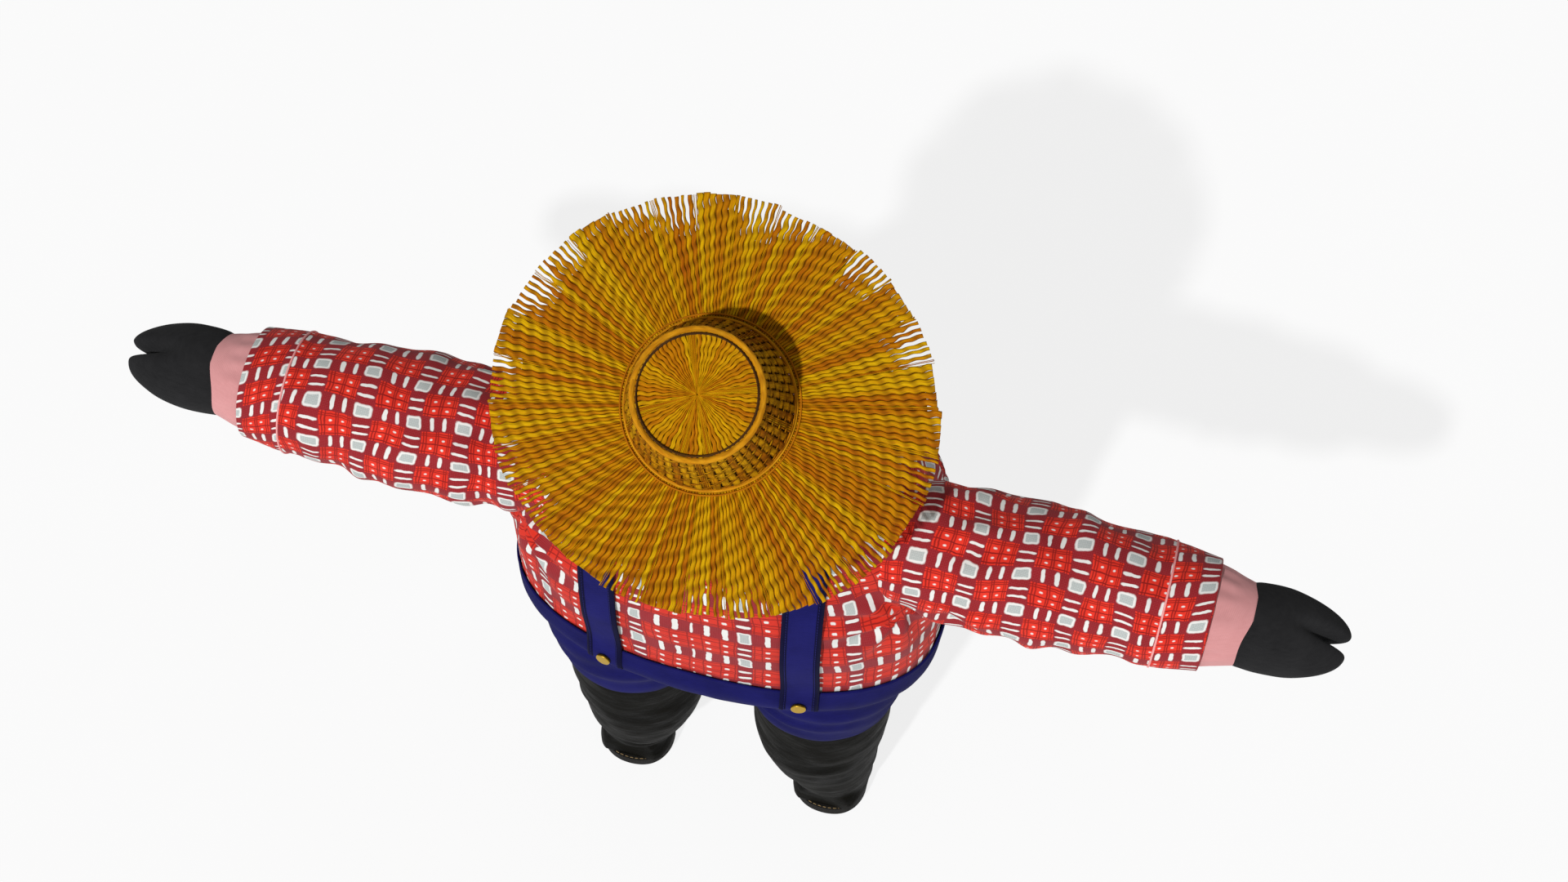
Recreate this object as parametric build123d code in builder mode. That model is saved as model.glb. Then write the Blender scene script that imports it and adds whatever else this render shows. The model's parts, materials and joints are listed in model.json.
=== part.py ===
"""Stuffed pig-farmer scarecrow that stands on its boots with its arms straight out.

The figure faces -Y and its left hand points to +X. The origin is on the ground,
in the middle of the box that the whole figure fills. All sizes are millimetres.
"""

from build123d import *
import os
from math import cos, pi, radians, sin

os.makedirs("parts", exist_ok=True)

# ---- Driving dimensions -------------------------------------------------------

SIDES = (("left", 1), ("right", -1))

# Arms: one straight line through both shoulders.
ARM_Z = 902.0            # height of the arm line
ARM_Y = 22.0             # the arm line runs a little behind the body's middle
PIVOT_X = 250.0          # shoulder bolt
ARM_UP = 30.0            # swing above and below the level, in degrees
ARM_DOWN = 20.0
CUFF_X = 579.0           # end of the sleeve
HOOF_X = 616.0           # start of the hoof
TIP_X = 743.0            # tip of the hoof, half the span

# Body: ovals from the neck down, each with its own half width and depths.
BODY_Y = 8.0             # the ovals' depths are measured from here
BODY_OVAL = 2.35         # exponent of the ovals: 2 would be an ellipse
NECK_Z = 1002.0
SHOULDER_Z = 900.0       # above this the trunk closes in to the neck
SEAT_Z = 520.0           # below this it closes in to the crotch
SHIRT_HEM_Z = 615.0      # the shirt is tucked in this far
WAIST_Z = 643.0          # top edge of the shorts
HEM_Z = 452.0            # bottom edge of the shorts
STUFFING_Z = 478.0       # flat bottom of the trunk's stuffing, between the legs

# Legs and boots.
THIGH_X = 129.0
ANKLE_X = 146.0
LEG_Y = 28.0
BOOT_TOP_Z = 464.0
SOLE_TOP_Z = 20.0
TOE_Y = -164.0
HEEL_Y = 77.0
SOLE_HALF_WIDTH = 57.0

# Cloth and clearances.
FAR = 900.0              # size of the blocks that cut pieces off
CLOTH = 3.0              # thickness of shirt, shorts and sleeve
GAP = 0.3                # air between soft layers
STRAP_X = 126.0
STRAP_WIDTH = 50.0
STRAP_LOW_Z = 598.0
BUTTON_R = 9.5

# Timber frame.
POST_R = 15.0
SPINE = 30.0
BAR_DEPTH = 20.0
BAR_HEIGHT = 45.0
ROD_HEIGHT = 40.0
BOLT_R = 4.0
WASHER = 2.0
DOWEL_R = 10.0
RUNNING_FIT = 0.08

# Head and hat.
HEAD_DROP = 30.0         # middle of the skull, below the brim
HEAD_R = 92.0            # round about the hat's axis
HEAD_LONG = 105.0        # along the hat's axis
HAT_X = 6.0              # the hat sits a little to one side
HAT_Y = 33.0
HAT_Z = 1157.0
HAT_TILT = 22.0          # the hat is tipped back
BRIM_LONG = 252.0
BRIM_SHORT = 228.0
BRIM_TURN = -10.0        # the oval's long axis, turned on the head
BRIM_SHIFT = -3.0        # the brim is wider on one side of the crown
BRIM_THICK = 5.0
CROWN_LOW_R = 93.0
CROWN_TOP_R = 69.0
CROWN_HEIGHT = 112.0
CROWN_WALL = 3.0

SPINE_Y = BODY_Y + 2 + SPINE / 2
NECK_Y = BODY_Y + 12
NECK_R = 46.0
NECK_LONG = 23.0
BAR_FRONT_Y = ARM_Y - BAR_DEPTH / 2 - WASHER - BAR_DEPTH
HAT_PLANE = Plane(
    origin=(HAT_X, HAT_Y, HAT_Z),
    x_dir=(1, 0, 0),
    z_dir=(0, sin(radians(HAT_TILT)), cos(radians(HAT_TILT))),
)

# height, half width, depth in front, depth behind
TRUNK_OVALS = (
    (470, 165, 120, 66),
    (492, 218, 160, 86),
    (SEAT_Z, 246, 190, 106),
    (560, 262, 215, 130),
    (600, 270, 232, 146),
    (WAIST_Z, 272, 240, 140),
    (690, 273, 245, 140),
    (740, 273, 245, 143),
    (800, 268, 236, 140),
    (859, 256, 212, 134),
    (900, 242, 182, 128),
    (940, 226, 150, 120),
    (968, 196, 122, 111),
    (986, 150, 94, 98),
    (996, 104, 70, 84),
    (NECK_Z, 62, 48, 72),
)

# distance out along the arm, radius of the sleeve
SLEEVE_RINGS = (
    (280, 66), (305, 78), (335, 84), (400, 81), (480, 77), (540, 73), (CUFF_X, 66),
)

# distance out, half depth, half height
HOOF_RINGS = ((HOOF_X, 49, 46), (638, 52, 46), (664, 52, 40), (700, 45, 30), (728, 30, 18))
HOOF_TIP = (20, 9)
CLEFT_LONG = 32.0
CLEFT_HALF = 8.5
CLEFT_ROOM = 60.0

# height, distance out, distance back, half width, half depth of each leg of the shorts
THIGH_RINGS = (
    (HEM_Z, THIGH_X, LEG_Y, 100, 100), (500, THIGH_X, 26, 107, 108), (550, 130, 18, 114, 118),
    (590, 131, 12, 112, 116),
)

# height, distance out, distance back, radius of the boot's shaft
SHAFT_RINGS = (
    (60, ANKLE_X, 18, 56), (90, 143, 20, 60), (140, 137, 24, 70), (200, 131, 27, 81),
    (330, THIGH_X, LEG_Y, 92), (430, THIGH_X, LEG_Y, 95), (BOOT_TOP_Z, THIGH_X, LEG_Y, 95),
)

# place along the foot, half width, height above the sole
FOOT_RINGS = (
    (TOE_Y + 4, 24, 18), (-140, 46, 40), (-100, 55, 54), (-55, 55, 68), (-10, 54, 84),
    (35, 54, 92), (HEEL_Y - 5, 40, 84),
)


# ---- Shapes that are used more than once --------------------------------------

def oval(plane, half_width, front, back, points=20):
    """A closed oval, deeper on one side than on the other."""
    outline = []
    for step in range(points):
        turn = 2 * pi * (step + 0.5) / points
        across = abs(cos(turn)) ** (2 / BODY_OVAL) * (1 if cos(turn) > 0 else -1)
        along = abs(sin(turn)) ** (2 / BODY_OVAL) * (1 if sin(turn) > 0 else -1)
        depth = back if along > 0 else front
        outline.append((half_width * across, depth * along))
    with BuildSketch(plane) as face:
        with BuildLine():
            Spline(outline, periodic=True)
        make_face()
    return face.sketch


def disc(plane, half_across, half_along=None, centre=(0, 0)):
    """A filled circle, or a filled ellipse if it has two half sizes."""
    with BuildSketch(plane) as face:
        with Locations(centre):
            if half_along is None:
                Circle(half_across)
            else:
                Ellipse(half_across, half_along)
    return face.sketch


def trunk(grow):
    """Sections of the whole trunk, bigger or smaller all round than the skin."""
    sections = []
    for height, half_width, front, back in TRUNK_OVALS:
        rise = max(0, height - SHOULDER_Z) / (NECK_Z - SHOULDER_Z)
        fall = max(0, SEAT_Z - height) / (SEAT_Z - TRUNK_OVALS[0][0])
        level = Plane.XY.offset(height + grow * (rise - fall)).move(Location((0, BODY_Y, 0)))
        sections.append(oval(level, half_width + grow, front + grow, back + grow))
    return sections


def thigh(side, grow, raised=0.0):
    """Sections of one leg of the shorts, from the hem up into the trunk."""
    return [
        disc(
            Plane.XY.offset(max(height, HEM_Z + raised)), half_width + grow, half_depth + grow,
            centre=(side * out, back),
        )
        for height, out, back, half_width, half_depth in THIGH_RINGS
    ]


def shaft(side, grow):
    """Sections of the leg of a boot."""
    return [
        disc(Plane.XY.offset(height), radius + grow, centre=(side * out, back))
        for height, out, back, radius in SHAFT_RINGS
    ]


def foot(side, grow):
    """Sections of the foot of a boot, flat underneath."""
    sections = []
    for place, half_width, rise in FOOT_RINGS:
        spot = Plane(
            origin=(side * ANKLE_X, place - grow * (1 if place < 0 else -1), SOLE_TOP_Z - grow),
            x_dir=(-1, 0, 0),
            z_dir=(0, 1, 0),
        )
        with BuildSketch(spot) as half_round:
            with BuildLine():
                EllipticalCenterArc((0, 0), half_width + grow, rise + 2 * grow, arc_size=180)
                Line((-half_width - grow, 0), (half_width + grow, 0))
            make_face()
        sections.append(half_round.sketch)
    return sections


def arm_plane(side, out):
    """A plane across the arm, looking outwards."""
    return Plane(origin=(side * out, ARM_Y, ARM_Z), x_dir=(0, 1, 0), z_dir=(side, 0, 0))


def sleeve_rings(side, grow):
    """Sections of the sleeve's outside, bigger or smaller all round."""
    return [disc(arm_plane(side, out), radius + grow) for out, radius in SLEEVE_RINGS]


def finish(builder, name):
    """Label a finished piece and write its STEP file."""
    builder.part.label = name
    export_step(builder.part, f"parts/{name}.step")


# ---- Timber frame -------------------------------------------------------------

HIP_LOW_Z = 500.0
HIP_TOP_Z = 522.0
SPINE_TOP_Z = 985.0
POST_X = 140.0
POST_LOW_Z = 30.0
BLOCK_TOP_Z = 58.0
BAR_END_X = PIVOT_X + 14
HIP_END_X = POST_X + 32
HIP_DEPTH = 84.0
DOWEL_DEPTH = 55.0
DOWEL_TOP_Z = 1146.0
SCREW_HEAD_R = 5.0
SCREW_R = 2.25
SCREW_RISE = 12.0        # half the spacing of the screws through the bar
SCREW_OUT = 8.0          # half the spacing of the screws through the hip board
SCREW_HEAD = 3.0
HIP_SCREW_BITE = 34.0
BAR_SCREW_BITE = 22.0

with BuildPart() as hip_board:
    with BuildSketch(Plane.XY.offset(HIP_LOW_Z)):
        with Locations((0, LEG_Y)):
            RectangleRounded(2 * HIP_END_X, HIP_DEPTH, 14)
        with Locations((-POST_X, LEG_Y), (POST_X, LEG_Y)):
            Circle(POST_R, mode=Mode.SUBTRACT)
        with Locations((-SCREW_OUT, SPINE_Y), (SCREW_OUT, SPINE_Y)):
            Circle(SCREW_R, mode=Mode.SUBTRACT)
    extrude(amount=HIP_TOP_Z - HIP_LOW_Z)
finish(hip_board, "hip_board")

with BuildPart() as spine_post:
    with BuildSketch(Plane.XY.offset(HIP_TOP_Z)):
        with Locations((0, SPINE_Y)):
            Rectangle(SPINE, SPINE)
    extrude(amount=SPINE_TOP_Z - HIP_TOP_Z)
    with BuildSketch(Plane.XY.offset(SPINE_TOP_Z)):
        with Locations((0, SPINE_Y)):
            Circle(DOWEL_R)
    extrude(amount=-DOWEL_DEPTH, mode=Mode.SUBTRACT)
    with BuildSketch(Plane.XY.offset(HIP_TOP_Z)):
        with Locations((-SCREW_OUT, SPINE_Y), (SCREW_OUT, SPINE_Y)):
            Circle(SCREW_R)
    extrude(amount=HIP_SCREW_BITE, mode=Mode.SUBTRACT)
    with BuildSketch(Plane.XZ.offset(-(SPINE_Y - SPINE / 2))):
        with Locations((0, ARM_Z - SCREW_RISE), (0, ARM_Z + SCREW_RISE)):
            Circle(SCREW_R)
    extrude(amount=-BAR_SCREW_BITE, mode=Mode.SUBTRACT)
finish(spine_post, "spine_post")

with BuildPart() as hip_screws:
    for across in (-SCREW_OUT, SCREW_OUT):
        with BuildSketch(Plane.XY.offset(HIP_LOW_Z)):
            with Locations((across, SPINE_Y)):
                Circle(SCREW_R)
        extrude(amount=HIP_TOP_Z - HIP_LOW_Z + HIP_SCREW_BITE)
        with BuildSketch(Plane.XY.offset(HIP_LOW_Z - SCREW_HEAD)):
            with Locations((across, SPINE_Y)):
                Circle(SCREW_HEAD_R)
        extrude(amount=SCREW_HEAD)
finish(hip_screws, "hip_screws")

with BuildPart() as shoulder_bar:
    with BuildSketch(Plane.XZ.offset(-BAR_FRONT_Y)):
        with Locations((0, ARM_Z)):
            RectangleRounded(2 * BAR_END_X, BAR_HEIGHT, 10)
            with Locations((-PIVOT_X, 0), (PIVOT_X, 0)):
                Circle(BOLT_R, mode=Mode.SUBTRACT)
            with Locations((0, -SCREW_RISE), (0, SCREW_RISE)):
                Circle(SCREW_R, mode=Mode.SUBTRACT)
    extrude(amount=-BAR_DEPTH)
finish(shoulder_bar, "shoulder_bar")

with BuildPart() as shoulder_screws:
    for rise in (-SCREW_RISE, SCREW_RISE):
        with BuildSketch(Plane.XZ.offset(-BAR_FRONT_Y)):
            with Locations((0, ARM_Z + rise)):
                Circle(SCREW_R)
        extrude(amount=-(BAR_DEPTH + BAR_SCREW_BITE))
        with BuildSketch(Plane.XZ.offset(-BAR_FRONT_Y)):
            with Locations((0, ARM_Z + rise)):
                Circle(SCREW_HEAD_R)
        extrude(amount=SCREW_HEAD)
finish(shoulder_screws, "shoulder_screws")

with BuildPart() as neck_dowel:
    with BuildSketch(Plane.XY.offset(SPINE_TOP_Z - DOWEL_DEPTH)):
        with Locations((0, SPINE_Y)):
            Circle(DOWEL_R)
    extrude(amount=DOWEL_TOP_Z - SPINE_TOP_Z + DOWEL_DEPTH)
    chamfer(neck_dowel.edges().group_by(Axis.Z)[-1], 2)
finish(neck_dowel, "neck_dowel")

leg_posts = {}
for name, side in SIDES:
    with BuildPart() as leg_post:
        with BuildSketch(Plane.XY.offset(POST_LOW_Z)):
            with Locations((side * POST_X, LEG_Y)):
                Circle(POST_R)
        extrude(amount=HIP_TOP_Z - POST_LOW_Z)
    finish(leg_post, f"leg_post_{name}")
    leg_posts[name] = leg_post

    with BuildPart() as foot_block:
        loft(foot(side, -CLOTH - GAP))
        with BuildSketch(Plane.XY.offset(BLOCK_TOP_Z)):
            with Locations((side * ANKLE_X, 0)):
                Rectangle(FAR / 4, FAR)
        extrude(amount=FAR, mode=Mode.SUBTRACT)
        add(leg_post.part, mode=Mode.SUBTRACT)
    finish(foot_block, f"foot_block_{name}")

# ---- Shoulder bolts: each holds one arm against the bar ------------------------

ROD_FRONT_Y = ARM_Y - BAR_DEPTH / 2
ROD_BACK_Y = ARM_Y + BAR_DEPTH / 2
NUT_FRONT_Y = ROD_BACK_Y + WASHER
WASHER_R = 11.0
BOLT_END_Y = NUT_FRONT_Y + 14
BOLT_HEAD_R = 9.0
BOLT_HEAD = 5.0

with BuildPart() as pivot_bolts:
    for name, side in SIDES:
        with BuildSketch(Plane.XZ.offset(-BAR_FRONT_Y)):
            with Locations((side * PIVOT_X, ARM_Z)):
                Circle(BOLT_R - RUNNING_FIT / 2)
        extrude(amount=BAR_FRONT_Y - BOLT_END_Y)
        with BuildSketch(Plane.XZ.offset(-BAR_FRONT_Y)):
            with Locations((side * PIVOT_X, ARM_Z)):
                Circle(BOLT_HEAD_R)
        extrude(amount=BOLT_HEAD)
finish(pivot_bolts, "pivot_bolts")

with BuildPart() as pivot_washers:
    for front in (ROD_FRONT_Y - WASHER, ROD_BACK_Y):
        with BuildSketch(Plane.XZ.offset(-front)):
            with Locations((-PIVOT_X, ARM_Z), (PIVOT_X, ARM_Z)):
                Circle(WASHER_R)
                Circle(BOLT_R + RUNNING_FIT, mode=Mode.SUBTRACT)
        extrude(amount=-WASHER)
finish(pivot_washers, "pivot_washers")

with BuildPart() as wing_nuts:
    for name, side in SIDES:
        with BuildSketch(Plane.XZ.offset(-NUT_FRONT_Y)):
            with Locations((side * PIVOT_X, ARM_Z)):
                Circle(8)
                Circle(BOLT_R, mode=Mode.SUBTRACT)
        extrude(amount=-8)
        with BuildSketch(Plane.XZ.offset(-NUT_FRONT_Y - 2)):
            with Locations((side * PIVOT_X, ARM_Z)):
                with Locations((-12, 4), (12, 4)):
                    Ellipse(6, 8)
                Circle(7.5, mode=Mode.SUBTRACT)
        extrude(amount=-5)
finish(wing_nuts, "wing_nuts")

# ---- Arms ---------------------------------------------------------------------

ROD_END_X = 690.0
ROD_END_HEIGHT = 30.0
WRIST_START_X = 556.0
WRIST_RINGS = ((WRIST_START_X + GAP, 62), (CUFF_X, 61), (598, 55))
SWING_ROOM = 26.0        # radius kept free round each shoulder bolt
ROOM_START = 18.0        # the free cone round the arm, from here outwards
ROOM_START_R = 68.0
ROOM_END = 86.0
ROOM_END_R = 95.0
SWING_STEPS = (-ARM_DOWN - 1, 5, ARM_UP + 1)
BOLT_ROOM = 12.0         # free length before and behind each bolt

for name, side in SIDES:
    with BuildPart() as arm_rod:
        with BuildSketch(Plane.XZ.offset(-ROD_FRONT_Y)):
            with Locations((side * PIVOT_X, ARM_Z)):
                Circle(ROD_HEIGHT / 2)
            with Locations((side * (PIVOT_X + HOOF_X) / 2, ARM_Z)):
                Rectangle(HOOF_X - PIVOT_X, ROD_HEIGHT)
            with Locations((side * (HOOF_X + ROD_END_X) / 2, ARM_Z)):
                Rectangle(ROD_END_X - HOOF_X, ROD_END_HEIGHT)
            with Locations((side * PIVOT_X, ARM_Z)):
                Circle(BOLT_R + RUNNING_FIT / 2, mode=Mode.SUBTRACT)
        extrude(amount=-BAR_DEPTH)
    finish(arm_rod, f"arm_rod_{name}")

    with BuildPart() as sleeve:
        loft(sleeve_rings(side, 0))
        loft(sleeve_rings(side, -CLOTH), mode=Mode.SUBTRACT)
    finish(sleeve, f"sleeve_{name}")

    with BuildPart() as arm_stuffing:
        loft(sleeve_rings(side, -CLOTH - GAP))
        with BuildSketch(arm_plane(side, WRIST_START_X)):
            Circle(FAR)
        extrude(amount=FAR, mode=Mode.SUBTRACT)
        add(arm_rod.part, mode=Mode.SUBTRACT)
    finish(arm_stuffing, f"arm_stuffing_{name}")

    with BuildPart() as wrist:
        for out, radius in WRIST_RINGS:
            with BuildSketch(arm_plane(side, out)):
                Circle(radius)
        with BuildSketch(arm_plane(side, HOOF_X - GAP)):
            Ellipse(*HOOF_RINGS[0][1:])
        loft()
        add(arm_rod.part, mode=Mode.SUBTRACT)
    finish(wrist, f"wrist_{name}")

    with BuildPart() as hoof:
        for out, half_depth, half_height in HOOF_RINGS:
            with BuildSketch(arm_plane(side, out)):
                Ellipse(half_depth, half_height)
        with BuildSketch(arm_plane(side, TIP_X)):
            Ellipse(*HOOF_TIP)
        loft()
        with BuildSketch(Plane.XY.offset(ARM_Z - CLEFT_ROOM)):
            with Locations((side * TIP_X, ARM_Y)):
                with BuildLine():
                    Polyline(
                        (-side * CLEFT_LONG, 0), (side, CLEFT_HALF), (side, -CLEFT_HALF), close=True
                    )
                make_face()
        extrude(amount=2 * CLEFT_ROOM, mode=Mode.SUBTRACT)
        add(arm_rod.part, mode=Mode.SUBTRACT)
    finish(hoof, f"hoof_{name}")

# ---- Trunk: stuffing, shirt and shorts ------------------------------------------

FRAME_PIECES = (hip_board, spine_post, hip_screws, shoulder_bar, shoulder_screws, neck_dowel)


# Room for the bolts and for the swing of the arms.
with BuildPart() as shoulder_room:
    for name, side in SIDES:
        with BuildSketch(Plane.XZ.offset(BOLT_ROOM - BAR_FRONT_Y)):
            with Locations((side * PIVOT_X, ARM_Z)):
                Circle(SWING_ROOM)
        extrude(amount=BAR_FRONT_Y - BOLT_END_Y - 2 * BOLT_ROOM)
        for swing in SWING_STEPS:
            pivot = (side * PIVOT_X, ARM_Y, ARM_Z)
            out = (side * cos(radians(swing)), 0, sin(radians(swing)))
            with BuildSketch(Plane(origin=pivot, x_dir=out, z_dir=(0, -1, 0))):
                with BuildLine():
                    Polyline(
                        (ROOM_START, 0), (ROOM_START, ROOM_START_R), (ROOM_END, ROOM_END_R),
                        (ROOM_END, 0), close=True,
                    )
                make_face()
            revolve(axis=Axis(pivot, out))

with BuildPart() as torso_stuffing:
    loft(trunk(-CLOTH - GAP))
    with BuildSketch(Plane.XY.offset(STUFFING_Z)):
        Rectangle(FAR, FAR)
    extrude(amount=-FAR, mode=Mode.SUBTRACT)
    for name, side in SIDES:
        loft(thigh(side, -CLOTH - GAP, raised=1))
        with BuildSketch(Plane.XY.offset(HEM_Z)):
            with Locations((side * THIGH_X, LEG_Y)):
                Circle(SHAFT_RINGS[-1][3] + CLOTH)
        extrude(amount=BOOT_TOP_Z + 1 - HEM_Z, mode=Mode.SUBTRACT)
    add(shoulder_room.part, mode=Mode.SUBTRACT)
    for piece in FRAME_PIECES:
        add(piece.part, mode=Mode.SUBTRACT)
    for name, side in SIDES:
        add(leg_posts[name].part, mode=Mode.SUBTRACT)
finish(torso_stuffing, "torso_stuffing")

with BuildPart() as shirt_body:
    loft(trunk(0))
    loft(trunk(-CLOTH), mode=Mode.SUBTRACT)
    with BuildSketch(Plane.XY.offset(NECK_Z - 2 * CLOTH)):
        with Locations((0, NECK_Y)):
            Circle(NECK_R + 2)
    extrude(amount=4 * CLOTH, mode=Mode.SUBTRACT)
    with BuildSketch(Plane.XY.offset(SHIRT_HEM_Z)):
        Rectangle(FAR, FAR)
    extrude(amount=-FAR, mode=Mode.SUBTRACT)
    add(shoulder_room.part, mode=Mode.SUBTRACT)
    add(shoulder_bar.part, mode=Mode.SUBTRACT)
finish(shirt_body, "shirt_body")

with BuildPart() as shorts:
    loft(trunk(GAP + CLOTH))
    for name, side in SIDES:
        loft(thigh(side, GAP + CLOTH))
    loft(trunk(GAP), mode=Mode.SUBTRACT)
    for name, side in SIDES:
        loft(thigh(side, GAP), mode=Mode.SUBTRACT)
    with BuildSketch(Plane.XY.offset(WAIST_Z)):
        Rectangle(FAR, FAR)
    extrude(amount=FAR, mode=Mode.SUBTRACT)
finish(shorts, "shorts")

# ---- Boots ----------------------------------------------------------------------

for name, side in SIDES:
    with BuildPart() as boot:
        loft(shaft(side, 0))
        loft(foot(side, 0))
        loft(shaft(side, -CLOTH), mode=Mode.SUBTRACT)
        loft(foot(side, -CLOTH), mode=Mode.SUBTRACT)
    finish(boot, f"boot_{name}")

    with BuildPart() as leg_stuffing:
        loft(shaft(side, -CLOTH - GAP))
        add(leg_posts[name].part, mode=Mode.SUBTRACT)
    finish(leg_stuffing, f"leg_stuffing_{name}")

    ball = SOLE_HALF_WIDTH
    seat = SOLE_HALF_WIDTH - 5
    under_foot = Plane.XY.move(Location((side * ANKLE_X, 0, 0)))
    with BuildPart() as sole:
        with BuildSketch(under_foot):
            with BuildLine():
                Spline(
                    (0, TOE_Y), (ball * 0.75, TOE_Y + 26), (ball, TOE_Y + 75),
                    (seat - 4, TOE_Y + 150), (seat, HEEL_Y - 40), (seat * 0.66, HEEL_Y - 10),
                    (0, HEEL_Y), (-seat * 0.66, HEEL_Y - 10), (-seat, HEEL_Y - 40),
                    (4 - seat, TOE_Y + 150), (-ball, TOE_Y + 75), (-ball * 0.75, TOE_Y + 26),
                    periodic=True,
                )
            make_face()
        extrude(amount=SOLE_TOP_Z)
        with BuildSketch(under_foot):
            with Locations((0, HEEL_Y - 78)):
                Rectangle(150, 34)
        extrude(amount=6, mode=Mode.SUBTRACT)
    finish(sole, f"sole_{name}")

# ---- Braces and buttons -----------------------------------------------------------

STRAP_IN = CLOTH + 2 * GAP
STRAP_OUT = STRAP_IN + 2.4
BUTTON_Z = 614.0
BUTTON_THICK = 4.0
BUTTON_LIFT = 1.0
SHANK_R = 2.5
SHANK_LONG = 3.2


def surface_spot(builder, across, height, facing):
    """The outermost point of a piece at this place, behind (1) or in front (-1), and its slope."""
    line = Axis((across, facing * FAR, height), (0, -facing, 0))
    hits = [hit for face in builder.part.faces() for hit in face.find_intersection_points(line)]
    return max(hits, key=lambda hit: facing * hit[0].Y)


def button_plane(spot, outward):
    """A plane on the spot, looking straight out of the cloth."""
    point, normal = spot
    normal = normal if normal.dot(outward) > 0 else -normal
    return Plane(origin=point, x_dir=(1, 0, 0), z_dir=normal)


straps = {}
button_planes = []
for name, side in SIDES:
    with BuildPart() as strap:
        loft(trunk(STRAP_OUT))
        loft(trunk(STRAP_IN), mode=Mode.SUBTRACT)
        with BuildSketch(Plane.XY.offset(STRAP_LOW_Z)):
            with Locations((side * STRAP_X, 0)):
                Rectangle(STRAP_WIDTH, FAR)
        extrude(amount=FAR, mode=Mode.INTERSECT)
    for facing in (1, -1):
        spot = surface_spot(strap, side * STRAP_X, BUTTON_Z, facing)
        button_planes.append(button_plane(spot, Vector(0, facing, 0)))
    straps[name] = strap

with BuildPart() as brass_buttons:
    for plane in button_planes:
        with BuildSketch(plane.offset(BUTTON_LIFT)):
            Circle(BUTTON_R)
        extrude(amount=BUTTON_THICK)
        with BuildSketch(plane.offset(BUTTON_LIFT)):
            Circle(SHANK_R)
        extrude(amount=-SHANK_LONG)
    fillet(brass_buttons.edges().filter_by(GeomType.CIRCLE).filter_by(
        lambda edge: abs(edge.radius - BUTTON_R) < 0.01
    ), 1.2)
finish(brass_buttons, "brass_buttons")

for name, side in SIDES:
    with BuildPart() as drilled_strap:
        add(straps[name].part)
        add(brass_buttons.part, mode=Mode.SUBTRACT)
    finish(drilled_strap, f"strap_{name}")

# ---- Shirt front and collar ---------------------------------------------------------

PLACKET_WIDTH = 34.0
PLACKET_LOW_Z = WAIST_Z + 4
PLACKET_TOP_Z = 984.0
SHIRT_BUTTON_R = 8.0
SHIRT_BUTTON_HEIGHTS = (690, 760, 830, 900)
COLLAR_LOW_Z = NECK_Z + 1

with BuildPart() as shirt_placket:
    loft(trunk(GAP + CLOTH))
    loft(trunk(GAP), mode=Mode.SUBTRACT)
    with BuildSketch(Plane.XY.offset(PLACKET_LOW_Z)):
        with Locations((0, BODY_Y - 200)):
            Rectangle(PLACKET_WIDTH, 400)
    extrude(amount=PLACKET_TOP_Z - PLACKET_LOW_Z, mode=Mode.INTERSECT)
finish(shirt_placket, "shirt_placket")

with BuildPart() as shirt_buttons:
    for height in SHIRT_BUTTON_HEIGHTS:
        seat_plane = button_plane(surface_spot(shirt_placket, 0, height, -1), Vector(0, -1, 0))
        with BuildSketch(seat_plane.offset(BUTTON_LIFT)):
            Circle(SHIRT_BUTTON_R)
            with GridLocations(5, 5, 2, 2):
                Circle(1, mode=Mode.SUBTRACT)
        extrude(amount=3)
finish(shirt_buttons, "shirt_buttons")

with BuildPart() as collar:
    with BuildSketch(Plane.XZ.offset(-NECK_Y)):
        with BuildLine():
            Polyline(
                (52, COLLAR_LOW_Z), (56, COLLAR_LOW_Z + 19), (62, COLLAR_LOW_Z + 20),
                (88, COLLAR_LOW_Z + 5), (86, COLLAR_LOW_Z + 1), (60, COLLAR_LOW_Z + 3),
                (57, COLLAR_LOW_Z), close=True,
            )
        make_face()
    revolve(axis=Axis((0, NECK_Y, 0), (0, 0, 1)))
finish(collar, "collar")

# ---- Head ---------------------------------------------------------------------------

HAT_AXIS = HAT_PLANE.z_dir
SKULL = HAT_PLANE.origin - HAT_AXIS * HEAD_DROP
JOWL_Y = 5.0
JOWL_Z = 1100.0
JOWL_R = 98.0
JOWL_HALF_HEIGHT = 68.0
SOCKET_R = 14.0
SOCKET_LOW_Z = 1033.0
SOCKET_TOP_Z = 1156.0
SNOUT_Z = 1094.0
SNOUT_BASE_Y = -70.0
SNOUT_TIP_Y = -140.0
EYE_X = 36.0
EYE_Z = 1144.0
EYE_R = 9.0
EAR_LONG = 96.0
EAR_HALF = 32.0
EAR_THICK = 7.0

with BuildPart() as neck:
    with BuildSketch(Plane.XY.offset(NECK_Z - 2)):
        with Locations((0, NECK_Y)):
            Circle(NECK_R)
        with Locations((0, SPINE_Y)):
            Circle(DOWEL_R, mode=Mode.SUBTRACT)
    extrude(amount=NECK_LONG)
finish(neck, "neck")

with BuildPart() as neck_socket:
    with BuildSketch(Plane.XY.offset(SOCKET_LOW_Z)):
        with Locations((0, SPINE_Y)):
            Circle(SOCKET_R)
    extrude(amount=SOCKET_TOP_Z - SOCKET_LOW_Z)
    with BuildSketch(Plane.XY.offset(SOCKET_LOW_Z)):
        with Locations((0, SPINE_Y)):
            Circle(DOWEL_R + RUNNING_FIT)
    extrude(amount=DOWEL_TOP_Z + GAP - SOCKET_LOW_Z, mode=Mode.SUBTRACT)
finish(neck_socket, "neck_socket")

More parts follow.
